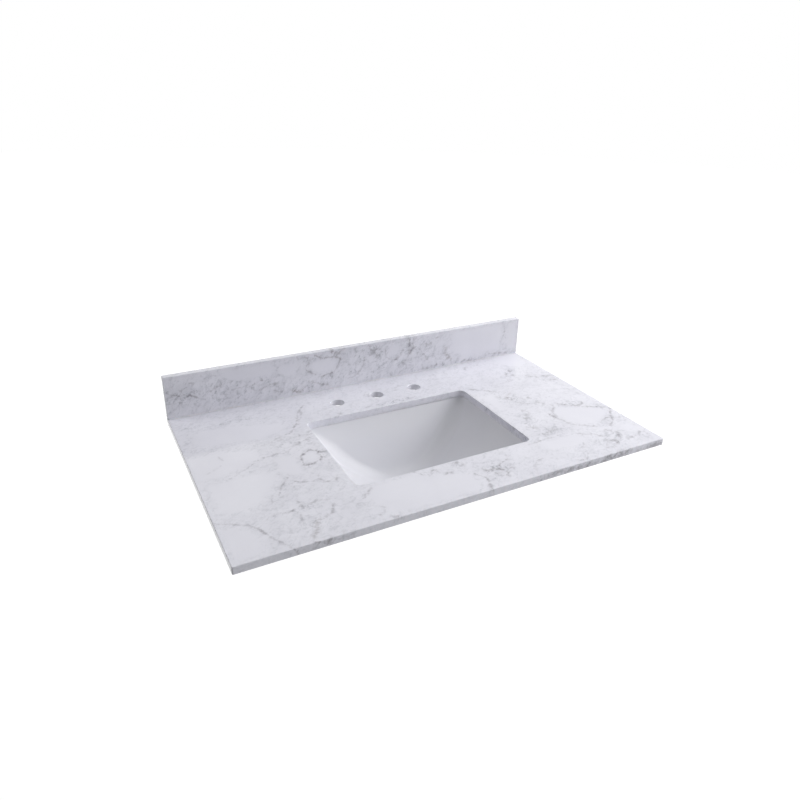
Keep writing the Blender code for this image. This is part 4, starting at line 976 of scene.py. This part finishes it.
class SINK_OT_backsplash(bpy.types.Operator):
    """Build the stone backsplash, its face up while it is made and then stood on its foot."""

    bl_idname = "sink.backsplash"
    bl_label = "Backsplash"

    def execute(self, context):
        step = context.scene.sink_stone.spacing * 0.8
        size = SPLASH_HIGH - SPLASH_LOW
        pattern = outline_pattern(3, (round(size.x / step), round(size.z / step)))

        def loops_at(inset):
            return [rounded_loop(size.x / 2 - inset, size.z / 2 - inset, TOP_CORNER - inset, pattern)]

        stood = []
        for points, faces in plate(loops_at, 0, size.y, (EDGE_EASE, EDGE_EASE), (step, step), rows=4):
            x, up, out = points.T
            place = np.column_stack([x, SPLASH_HIGH.y - out, up + (SPLASH_LOW.z + SPLASH_HIGH.z) / 2])
            stood.append((place, faces))
        piece = make_piece("veined_stone_backsplash", stood, "veined_stone", "backsplash")
        x, y, z = points_of(piece.data).T
        slant = SPLASH_SLANT * (y - SPLASH_LOW.y)
        flat = np.column_stack([x - SPLASH_LOW.x + slant, z - SPLASH_LOW.z])
        write_pattern(piece, flat, (SPLASH_VEINS, SPLASH_CLOUDS, SPLASH_PEBBLES), SPLASH_SEED)
        return {"FINISHED"}


class SINK_OT_basin(bpy.types.Operator):
    """Build the ceramic basin: bowl, rim, flange, outside and outlet as one closed skin."""

    bl_idname = "sink.basin"
    bl_label = "Basin"

    def execute(self, context):
        wall = context.scene.sink_ceramic.wall
        flange = (BASIN_HIGH - BASIN_LOW) / 2
        rim, foot = BASIN_HIGH.z, BASIN_LOW.z
        floor_z = rim - BOWL_DEPTH
        seat_z = floor_z - SEAT_DEPTH
        under_z = rim - FLANGE_THICKNESS
        skirt = BOSS_RADIUS + BOSS_FILLET
        shares = 1 - (1 - np.linspace(0, 1, 60)) ** 2
        # Shares of the depth: the inner wall starts just under the rim, the outer one below the flange
        inner = bowl_sections(0.03 + 0.955 * shares, SEAT_RADIUS, 0)[::-1]
        outer = bowl_sections(0.15 + 0.845 * shares, skirt, wall)
        rim_sides = bowl_sections([0.002], SEAT_RADIUS, 0)[0][:3]
        under_sides = bowl_sections([0.067], skirt, wall)[0][:3]
        sides = (flange.x, flange.y, FLANGE_CORNER)
        edge = [
            (*inner[-1], 0), (*rim_sides, rim, 0.0022), (*sides, rim, 0.0018), (*sides, under_z, 0.0018),
            (*under_sides, under_z, 0.004), (*outer[0], 0),
        ]
        # The rings round the outlet: radius, height and ease
        outlet = [
            (BOSS_RADIUS, floor_z - wall - 0.001, 0.005), (BOSS_RADIUS, foot, 0.0016),
            (OUTLET_RADIUS, foot, 0.001), (OUTLET_RADIUS, seat_z, 0.001),
            (SEAT_RADIUS, seat_z, 0.0012), (SEAT_RADIUS, floor_z, 0.0012),
        ]
        low = [(*outer[-1], 0), *((r, r, r, z, ease) for r, z, ease in outlet), (*inner[0], 0)]
        edge, low = (eased(rows, steps=6)[1:-1] for rows in (edge, low))
        sections = np.concatenate([inner, edge, outer, low])
        rings = level_rings(sections, outline_pattern(20, (56, 40)), CENTRE[:2])
        make_piece("ceramic_basin", [skin(rings, closed=True)], "glazed_ceramic", "basin")
        return {"FINISHED"}


class SINK_OT_sealants(bpy.types.Operator):
    """Build the silicone beads: one between basin and stone, one under the backsplash."""

    bl_idname = "sink.sealants"
    bl_label = "Sealant Beads"

    def execute(self, context):
        self.basin_bead()
        self.splash_bead()
        return {"FINISHED"}

    def basin_bead(self):
        """A flat bead with a lip that hangs down at the cut-out, its section carried round the opening."""
        low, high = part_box("basin_sealant")
        reach = (high.x - low.x) / 2
        less_wide = reach - (high.y - low.y) / 2
        less_corner = CUTOUT_HALF_LENGTH - CUTOUT_CORNER
        tooled = CUTOUT_HALF_LENGTH + 0.0004
        lip = tooled + 0.0040
        lip_low = low.z - 0.0022
        profile = [
            (tooled, high.z, 0.0001), (reach, high.z, 0.0006), (reach, low.z, 0.0006),
            (lip, low.z, 0.0003), (lip, lip_low, 0.0003), (tooled + 0.0012, lip_low, 0.0012),
        ]
        sections = [(x, x - less_wide, x - less_corner, z) for x, z in eased(profile, closed=True)]
        rings = level_rings(sections, outline_pattern(12, (80, 56)), CENTRE[:2])
        bead = skin(rings, closed=True)
        make_piece("basin_silicone_bead", [bead], "white_silicone", "basin_sealant")

    def splash_bead(self):
        """A thin bead under the backsplash that swells in front of it and stays flush behind: what a ring
        reaches past the strip's own half width is added in front alone."""
        low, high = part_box("backsplash_sealant")
        half = (high - low) / 2
        profile = [
            (0, high.z, 0), (half.y - 0.002, high.z, 0.0003), (half.y + 0.0002, high.z + 0.0013, 0),
            (half.y + 0.0015, low.z, 0), (0, low.z, 0),
        ]
        out, height = eased(profile, steps=5).T
        back = np.minimum(out, half.y)
        sides = [half.x - half.y + back, (out + back) / 2, np.minimum(back, 0.004), height]
        rings = level_rings(np.column_stack(sides), outline_pattern(6, (120, 4)), ((low + high) / 2).xy)
        rings[..., 1] -= (out - back)[:, None] / 2
        make_piece("backsplash_silicone_bead", [skin(rings)], "white_silicone", "backsplash_sealant")


class SINK_OT_waste(bpy.types.Operator):
    """Build the waste: threaded tube with its flange, cross bar and hub, gasket, seal, washer and nut."""

    bl_idname = "sink.waste"
    bl_label = "Waste"

    def execute(self, context):
        self.body()
        gasket = ring_shell("waste_flange_gasket", SEAL_BORE, 0.0003)
        make_piece("rubber_flange_gasket", [gasket], "black_rubber", "waste_flange_gasket")
        low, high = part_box("waste_taper_seal")
        neck, shoulder, outer = 0.0222, 0.0235, (high.x - low.x) / 2
        step = high.z - 0.0018
        taper = [
            (SEAL_BORE, high.z), (neck, high.z), (neck, step), (shoulder, step),
            (outer - 0.0002, low.z + 0.0025), (outer, low.z), (SEAL_BORE, low.z),
        ]
        seal = turned(eased(taper, 0.0006, closed=True, steps=5), 96, closed=True)
        make_piece("rubber_taper_seal", [seal], "black_rubber", "waste_taper_seal")
        washer = ring_shell("waste_slip_washer", SEAL_BORE, 0.0003)
        make_piece("nylon_slip_washer", [washer], "pale_nylon", "waste_slip_washer")
        self.back_nut()
        return {"FINISHED"}

    def body(self):
        """The tube is one turned wall, up the bore, over the flange and down the thread. Across its bore
        lies a bar, a strip of level rounded rectangles, with the turned hub in its middle."""
        low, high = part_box("waste_body")
        flange = (high.x - low.x) / 2
        top, end = high.z, low.z
        under = top - 0.0025
        wall = [
            (TUBE_BORE, end + 0.004, 0), (TUBE_BORE, top - 0.003, 0.001),
            (TUBE_BORE + 0.0018, top - 0.0002, 0.0012), (flange - 0.003, top, 0.0016),
            (flange, under + 0.0009, 0.0006), (flange, under, 0.0003),
            (TUBE_RADIUS, under, 0.0006), (TUBE_RADIUS, under - 0.006, 0),
        ]
        thread = thread_rows(TUBE_RADIUS, TUBE_THREAD_DEPTH, TUBE_PITCH, end + 0.0012, under - 0.010, 96)
        foot = [
            (TUBE_RADIUS - TUBE_THREAD_DEPTH, end + 0.0004), (TUBE_RADIUS - 0.0013, end),
            (TUBE_BORE + 0.0004, end), (TUBE_BORE, end + 0.0004),
        ]
        tube = turned([*map(tuple, eased(wall, steps=5)), *thread, *foot], 96, closed=True)
        bottom, roof, half_bar = -0.1705, -0.1645, 0.0015
        bar = eased([(0, roof), (half_bar, roof), (half_bar, bottom), (0, bottom)], 0.0005)
        sections = [(x, TUBE_BORE + 0.0012 - half_bar + x, x, z) for x, z in bar]
        rings = level_rings(sections, outline_pattern(3, (4, 24)))[..., [1, 0, 2]]
        sleeve, outer = 0.0058, 0.008
        hub = eased([(sleeve, roof), (outer, roof), (outer, bottom), (sleeve, bottom)], 0.0006, closed=True)
        shells = [tube, *moved([skin(rings)], CENTRE), turned(hub, 48, closed=True)]
        make_piece("chrome_waste_body", shells, "chrome_plate", "waste_body")

    def back_nut(self):
        """A hexagon whose corners are turned down: each ring's reach is the lesser of the hexagon's, the
        apothem over the cosine of the angle from the flat's middle, and a circle's that shrinks with the
        distance from mid height."""
        low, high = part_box("waste_back_nut")
        apothem = (high.y - low.y) / 2
        half, middle = (high.z - low.z) / 2, (high.z + low.z) / 2
        segments = 144
        sixth = math.pi / 3
        angle = np.arange(segments) * FULL_TURN / segments
        from_flat = (angle + sixth / 2 - QUARTER_TURN) % sixth - sixth / 2
        hexagon = apothem / np.cos(from_flat)
        corner = apothem / math.cos(sixth / 2)
        rows = []
        for height in np.linspace(1, -1, 17):
            turned_down = corner * (1 - 0.075 * abs(height) ** 8) - 0.0001
            rows.append((np.minimum(hexagon, turned_down), middle + half * height))
        bore, bevel, face = 0.0207, 0.001, apothem * 0.955
        top = [(bore, high.z - bevel), (bore + bevel, high.z), (face, high.z)]
        foot = [(face, low.z), (bore + bevel, low.z), (bore, low.z + bevel)]
        bottom, roof = low.z + 0.0011, high.z - 0.0011
        thread = thread_rows(bore + 0.0002, 0.0002, TUBE_PITCH, bottom, roof, segments)[::-1]
        shell = turned([*top, *rows, *foot, *thread], segments, closed=True)
        make_piece("brass_back_nut", [shell], "turned_brass", "waste_back_nut")


def coil_shell(radius, wire, low, high, turns, segments=12, steps_a_turn=40):
    """Round wire along a helix. The wire's middle climbs with a share that is slow at both ends, where the
    last turns are closed. Each ring stands square to the helix, and the two ends close to a point."""
    count = turns * steps_a_turn + 1
    share = np.linspace(0, 1, count)
    climb = share - 0.10 * np.sin(FULL_TURN * share)
    angle = share * turns * FULL_TURN
    c, s = np.cos(angle), np.sin(angle)
    path = np.column_stack([radius * c, radius * s, low + climb * (high - low)])
    ahead = np.gradient(path, axis=0)
    ahead /= np.linalg.norm(ahead, axis=1)[:, None]
    outward = np.column_stack([c, s, np.zeros(count)])
    upward = np.cross(ahead, outward)
    turn = np.arange(segments) * FULL_TURN / segments
    turn = turn[None, :, None]
    around = np.cos(turn) * outward[:, None] + np.sin(turn) * upward[:, None]
    thickness = np.full(count, wire)
    thickness[[0, -1]] = 0
    thickness[[1, -2]] = 0.8 * wire
    return skin(path[:, None] + thickness[:, None, None] * around + np.asarray(CENTRE))


class SINK_OT_click(bpy.types.Operator):
    """Build the click cartridge in the hub and the spring that stands on it."""

    bl_idname = "sink.click"
    bl_label = "Click Cartridge"

    def execute(self, context):
        low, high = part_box("click_cartridge")
        body, bore, shoulder = 0.0055, 0.0027, (high.x - low.x) / 2
        socket, ledge = low.z + 0.0025, -0.1642
        ledge_top = ledge + 0.002
        profile = [
            (0, socket, 0), (bore, socket, 0.0004), (bore, high.z, 0.0005), (body, high.z, 0.0006),
            (body, ledge_top, 0.0003), (shoulder, ledge_top, 0.0005), (shoulder, ledge, 0.0003),
            (body, ledge, 0.0003), (body, low.z, 0.0008), (0, low.z, 0),
        ]
        shell = turned(eased(profile), 64)
        make_piece("brass_click_cartridge", [shell], "turned_brass", "click_cartridge")

        low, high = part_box("click_spring")
        radius, wire, turns = 0.00365, 0.00045, 4
        coil = coil_shell(radius, wire, low.z + wire, high.z - wire, turns)
        spring = make_piece("click_spring_coil", [coil], "spring_wire", "click_spring", body=None)
        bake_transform(spring)
        return {"FINISHED"}


class SINK_OT_stopper(bpy.types.Operator):
    """Build the stopper that clicks up and down: domed cap, seal and plunger."""

    bl_idname = "sink.stopper"
    bl_label = "Stopper"

    def execute(self, context):
        low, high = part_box("stopper_cap")
        dome, rounding, skirt_low = 0.0018, 0.0010, -0.1400
        reach, skirt, boss, socket = (high.x - low.x) / 2, 0.0251, 0.0165, 0.0027
        rim, socket_top = high.z - dome, low.z + 0.0032
        under = rim - 0.0028
        edge = reach - rounding
        crown = [(edge * s, rim + dome * (1 - s**2)) for s in np.linspace(0, 1, 24)]
        for a in np.linspace(0, QUARTER_TURN, 8)[1:]:
            crown.append((edge + rounding * math.sin(a), rim - rounding * (1 - math.cos(a))))
        below = [
            (reach, rim - 0.0011, 0), (reach, skirt_low, 0.0006), (skirt, skirt_low, 0.0006),
            (skirt, under, 0.0004), (boss, under, 0.0004), (boss, low.z, 0.0008),
            (socket, low.z, 0.0003), (socket, socket_top, 0.0003), (0, socket_top, 0),
        ]
        cap = turned([*crown, *map(tuple, eased(below))], 128)
        make_piece("chrome_stopper_cap", [cap], "chrome_plate", "stopper_cap", "stopper")
        seal = ring_shell("stopper_seal", boss + 0.0003, 0.0005, bulge=0.0006)
        make_piece("rubber_stopper_seal", [seal], "black_rubber", "stopper_seal", "stopper")

        low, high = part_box("stopper_plunger")
        stem, collar, collar_low = 0.0024, 0.005, -0.1448
        collar_top = collar_low + 0.0015
        profile = [
            (0, high.z, 0), (stem, high.z, 0.0005), (stem, collar_top, 0.0003),
            (collar, collar_top, 0.0004), (collar, collar_low, 0.0004),
            (stem, collar_low, 0.0003), (stem, low.z, 0.0009), (0, low.z, 0),
        ]
        plunger = turned(eased(profile), 48)
        make_piece("zinc_stopper_plunger", [plunger], "zinc_plate", "stopper_plunger", "stopper")
        return {"FINISHED"}


def bent_bracket():
    """The clip's plate, cut flat and then bent. The flat blank runs from the toe to the heel's end, its
    toe corners well rounded, with the stud's hole. Past the first straight it follows a quarter circle
    round the bend's middle line, and then goes straight up."""
    width, thickness, bend = 0.022, 0.002, 0.003
    toe_y, heel_y, plate_top, heel_top = 0.026, -0.010, -0.0124, -0.0003
    toe_corner, heel_corner = 0.005, 0.0018
    middle_radius = bend + thickness / 2
    straight = toe_y - (heel_y + thickness + bend)
    quarter = middle_radius * QUARTER_TURN
    length = straight + quarter + heel_top - (plate_top + bend)

    def loops_at(inset):
        half = width / 2 - inset
        blank = []
        for number, (side_x, side_y) in enumerate([(1, 1), (-1, 1), (-1, -1), (1, -1)]):
            radius = (heel_corner if side_y > 0 else toe_corner) - inset
            y = length - inset if side_y > 0 else inset
            centre = (side_x * (half - radius), y - side_y * radius)
            turn = (np.linspace(0, 1, 9) + number) * QUARTER_TURN
            blank.append(np.column_stack([np.cos(turn), np.sin(turn)]) * radius + centre)
        return [np.concatenate(blank), circle(STUD_HOLE + inset, 40, (0, toe_y))]

    bent = []
    half = thickness / 2
    for points, faces in plate(loops_at, -half, half, (0.0004, 0.0004), (0.0014, 0.0007)):
        x, along, out = points.T
        turn = np.clip((along - straight) / middle_radius, 0, QUARTER_TURN)
        rise = np.clip(along - straight - quarter, 0, None)
        radius = middle_radius - out
        y = toe_y - np.minimum(along, straight) - radius * np.sin(turn)
        z = plate_top - half + middle_radius - radius * np.cos(turn) + rise
        bent.append((np.column_stack([x, y, z]), faces))
    return bent


def wing_nut_shells():
    """A turned hub with a flared foot, and two pressed ears: each an outline plate that stands upright, a
    round lobe on a narrow root."""
    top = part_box("clip_wing_nut_front_left")[1].z
    foot = top - 0.008
    wide, narrow = 0.0068, 0.0058
    hub = [(STUD_HOLE, top), (wide, top), (wide, top - 0.0025), (narrow, foot), (STUD_HOLE, foot)]
    shells = [turned(eased(hub, 0.0006, closed=True), 48, (0, 0, 0), closed=True)]
    lobe, lobe_radius = (0.0125, top - 0.0078), 0.0048
    root_x, half = 0.0050, 0.0011

    def loops_at(inset):
        turn = np.radians(np.linspace(100, -140, 28))
        round_lobe = np.column_stack([np.cos(turn), np.sin(turn)]) * (lobe_radius - inset) + lobe
        root = [(root_x, foot + 0.0016 + inset), (root_x, top - 0.0012 - inset)]
        return [np.concatenate([round_lobe, root])[::-1]]

    for sign in (-1, 1):
        for points, faces in plate(loops_at, -half, half, (0.0006, 0.0006), (0.001, 0.001)):
            x, z, out = points.T
            shells.append((np.column_stack([sign * x, out, z]), faces))
    return shells


def stud_shell(low, high, place):
    """A threaded rod with both ends chamfered."""
    radius, depth, pitch, end, chamfer = 0.003, 0.00055, 0.001, 0.0005, 0.0024
    thread = thread_rows(radius, depth, pitch, low + end, high - end, 24, 6)
    return turned([(0, high), (chamfer, high), *thread, (chamfer, low), (0, low)], 24, place)


def insert_shell(low, high, place):
    """A turned sleeve whose upper wall is knurled: its radius falls by the size of a sine of the angle."""
    outer = (high.x - low.x) / 2
    knurled = outer - 0.00025 * np.abs(np.sin(np.arange(96) * FULL_TURN / 96 * 16))
    profile = [
        (STUD_HOLE, high.z), (outer - 0.0006, high.z), (knurled, high.z - 0.0008),
        (knurled, low.z + 0.0012), (outer, low.z + 0.0008), (outer, low.z + 0.0001),
        (outer - 0.0001, low.z), (STUD_HOLE + 0.0004, low.z), (STUD_HOLE, low.z + 0.0004),
    ]
    return turned(profile, 96, place, closed=True)


class SINK_OT_clips(bpy.types.Operator):
    """Build the four clips under the stone: insert, threaded stud, bent bracket, washer and wing nut."""

    bl_idname = "sink.clips"
    bl_label = "Basin Clips"

    def execute(self, context):
        for name in CLIP_NAMES:
            low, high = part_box("clip_stud_" + name)
            place = ((low.x + high.x) / 2, (low.y + high.y) / 2, 0)
            turn = math.pi if name.startswith("back") else 0.0
            insert = insert_shell(*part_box("clip_insert_" + name), place)
            washer = ring_shell("clip_washer_" + name, STUD_HOLE, 0.0003, 64)
            zinc, brass = "zinc_plate", "turned_brass"
            parts = (
                ("threaded_stud_", "clip_stud_", zinc, [stud_shell(low.z, high.z, place)]),
                ("threaded_insert_", "clip_insert_", brass, [insert]),
                ("bent_bracket_", "clip_bracket_", zinc, moved(bent_bracket(), place, turn)),
                ("flat_washer_", "clip_washer_", zinc, [washer]),
                ("wing_nut_", "clip_wing_nut_", zinc, moved(wing_nut_shells(), place)),
            )
            for prefix, node, finish, shells in parts:
                make_piece(prefix + name, shells, finish, node + name)
        return {"FINISHED"}


# Stage

CAMERA_PLACE = (-0.6324, -1.4286, 0.7265)
CAMERA_YAW, CAMERA_PITCH, CAMERA_ROLL = -29.18, 65.93, 1.68
LENS_SHARE = 677.4 / 800
SHIFT = (-0.0227, -0.0303)

# A lamp is its strength, which multiplies the stage's lamp power, its distance from the basin's middle, its
# size, and the degrees that it stands round from the front towards the right and up from the level
LAMPS = {
    "right_lamp": (0.40, 2.6, 1.1, 90, 37),
    "right_front_low": (0.14, 2.6, 1.0, 60, 14),
    "right_front": (0.19, 2.6, 1.0, 46, 34),
    "back_left": (0.22, 2.6, 1.5, 243, 40),
    "left_high": (0.06, 2.6, 1.2, 300, 55),
    "back_right_near": (0.030, 1.3, 0.6, 122, 55),
    "front": (0.07, 2.6, 1.2, 10, 30),
    "back_low": (0.16, 2.6, 1.6, 180, 6),
}

# A panel behind the sink, which the polished stone mirrors
PANEL_PLACE = (-0.556, 3.0, 2.88)
PANEL_SIZE = (2.09, 2.05)
PANEL_GLOW = 0.8
ROOM_LIGHT_FROM = (1.0, -0.2, 0.35)
ROOM_LIGHT_COLOUR = (0.96, 0.98, 1.0, 1)
WHITE = (1, 1, 1, 1)

# The floor's glow grows between two distances from the middle, from a first strength to a second
FLOOR_RADIUS = 14.0
FLOOR_POINTS = 96
FLOOR_BOUNCE = (0.68, 0.68, 0.69, 1)
FLOOR_SHADE = (0.22, 0.22, 0.22, 1)
FLOOR_GLOW = (1.2, 2.6, 0.88, 1.0)


def area_lamp(name, place, target, size, power):
    light = bpy.data.lights.new(name, "AREA")
    light.shape = "RECTANGLE"
    light.size, light.size_y = size
    light.energy = power
    lamp = bpy.data.objects.new(name, light)
    bpy.context.scene.collection.objects.link(lamp)
    lamp.location = place
    lamp.rotation_euler = (Vector(target) - Vector(place)).to_track_quat("-Z", "Y").to_euler()
    return lamp


class SINK_OT_stage(bpy.types.Operator):
    """Set the stage: camera, pale floor, white surroundings and soft lamps. Of the lamps, only the back
    panel shows in reflections."""

    bl_idname = "sink.stage"
    bl_label = "Stage"

    def execute(self, context):
        stage = context.scene.sink_stage
        self.camera(context.scene)
        self.world(context.scene, stage.air)
        self.floor(stage.floor_height)
        for name, (strength, reach, across, around, up) in LAMPS.items():
            around, up = math.radians(around), math.radians(up)
            level = reach * math.cos(up)
            away = Vector((level * math.sin(around), -level * math.cos(around), reach * math.sin(up)))
            power = strength * stage.lamp_power
            lamp = area_lamp(name, BASIN_CENTRE + away, CENTRE, (across, across), power)
            lamp.visible_glossy = False
        target = (PANEL_PLACE[0], 0, PANEL_PLACE[2])
        power = PANEL_GLOW * PANEL_SIZE[0] * PANEL_SIZE[1]
        area_lamp("back_panel", PANEL_PLACE, target, PANEL_SIZE, power)
        context.scene.view_settings.view_transform = "Standard"
        return {"FINISHED"}

    def camera(self, scene):
        data = bpy.data.cameras.new("camera")
        data.lens = data.sensor_width * LENS_SHARE
        data.shift_x, data.shift_y = SHIFT
        camera = bpy.data.objects.new("camera", data)
        scene.collection.objects.link(camera)
        place = Matrix.Translation(CAMERA_PLACE)
        for degrees, axis in ((CAMERA_YAW, "Z"), (CAMERA_PITCH, "X"), (CAMERA_ROLL, "Z")):
            place @= Matrix.Rotation(math.radians(degrees), 4, axis)
        camera.matrix_world = place
        scene.camera = camera

    def world(self, scene, air):
        """White to the camera. The room's light rises from none on the left to its full strength on the
        right: its strength is the run of the direction that it comes from along one fixed direction."""
        world = bpy.data.worlds.new("white_studio")
        scene.world = world
        nodes = Nodes(world)
        ways = {0: nodes.add("TexCoord", output="Generated"), 1: Vector(ROOM_LIGHT_FROM).normalized()}
        toward = nodes.add("VectorMath", ways, "Value", operation="DOT_PRODUCT")
        strength = nodes.ramp(toward, 0.0, 1.0, 0.0, air, "LINEAR")
        light = nodes.add("Background", {"Color": ROOM_LIGHT_COLOUR, "Strength": strength})
        seen = nodes.add("Background", {"Color": WHITE})
        nodes.show("OutputWorld", seen, light)

    def floor(self, height):
        """A wide disc. What the camera sees of it keeps part of the object's shadow, and its glow grows to
        white with the distance from the middle."""
        rim = np.column_stack([circle(FLOOR_RADIUS, FLOOR_POINTS), np.full(FLOOR_POINTS, height)])
        mesh = bpy.data.meshes.new("floor")
        mesh.from_pydata(rim.tolist(), [], [range(FLOOR_POINTS)])
        material = bpy.data.materials.new("pale_floor")
        nodes = Nodes(material)
        place = nodes.add("TexCoord", output="Object")
        distance = nodes.add("VectorMath", {0: place}, "Value", operation="LENGTH")
        glow = nodes.add("Emission", {"Strength": nodes.ramp(distance, *FLOOR_GLOW, "LINEAR")})
        shade = nodes.add("BsdfDiffuse", {"Color": FLOOR_SHADE})
        bounce = nodes.add("BsdfDiffuse", {"Color": FLOOR_BOUNCE})
        nodes.show("OutputMaterial", nodes.add("AddShader", {0: shade, 1: glow}), bounce)
        mesh.materials.append(material)
        floor = bpy.data.objects.new("floor", mesh)
        bpy.context.scene.collection.objects.link(floor)


class SINK_PT_panel(bpy.types.Panel):
    bl_idname = "SINK_PT_panel"
    bl_label = "Vanity Sink"
    bl_space_type = "VIEW_3D"
    bl_region_type = "UI"
    bl_category = "Vanity Sink"

    def draw(self, context):
        for settings in (context.scene.sink_stone, context.scene.sink_ceramic, context.scene.sink_stage):
            for name in settings.__annotations__:
                self.layout.prop(settings, name)
        for step in OPERATORS:
            self.layout.operator(step.bl_idname)


SETTINGS = {"sink_stone": SinkStone, "sink_ceramic": SinkCeramic, "sink_stage": SinkStage}
OPERATORS = (
    SINK_OT_stage,
    SINK_OT_stone_top,
    SINK_OT_backsplash,
    SINK_OT_basin,
    SINK_OT_sealants,
    SINK_OT_waste,
    SINK_OT_click,
    SINK_OT_stopper,
    SINK_OT_clips,
)


def register():
    for cls in (*SETTINGS.values(), *OPERATORS, SINK_PT_panel):
        bpy.utils.register_class(cls)
    for name, cls in SETTINGS.items():
        setattr(bpy.types.Scene, name, bpy.props.PointerProperty(type=cls))


def unregister():
    for name in SETTINGS:
        delattr(bpy.types.Scene, name)
    for cls in (SINK_PT_panel, *OPERATORS[::-1], *reversed(SETTINGS.values())):
        bpy.utils.unregister_class(cls)


def main():
    register()
    for step in OPERATORS:
        group, action = step.bl_idname.split(".")
        if getattr(getattr(bpy.ops, group), action)() != {"FINISHED"}:
            raise RuntimeError(f"{step.bl_label} did not finish")


if __name__ == "__main__":
    main()
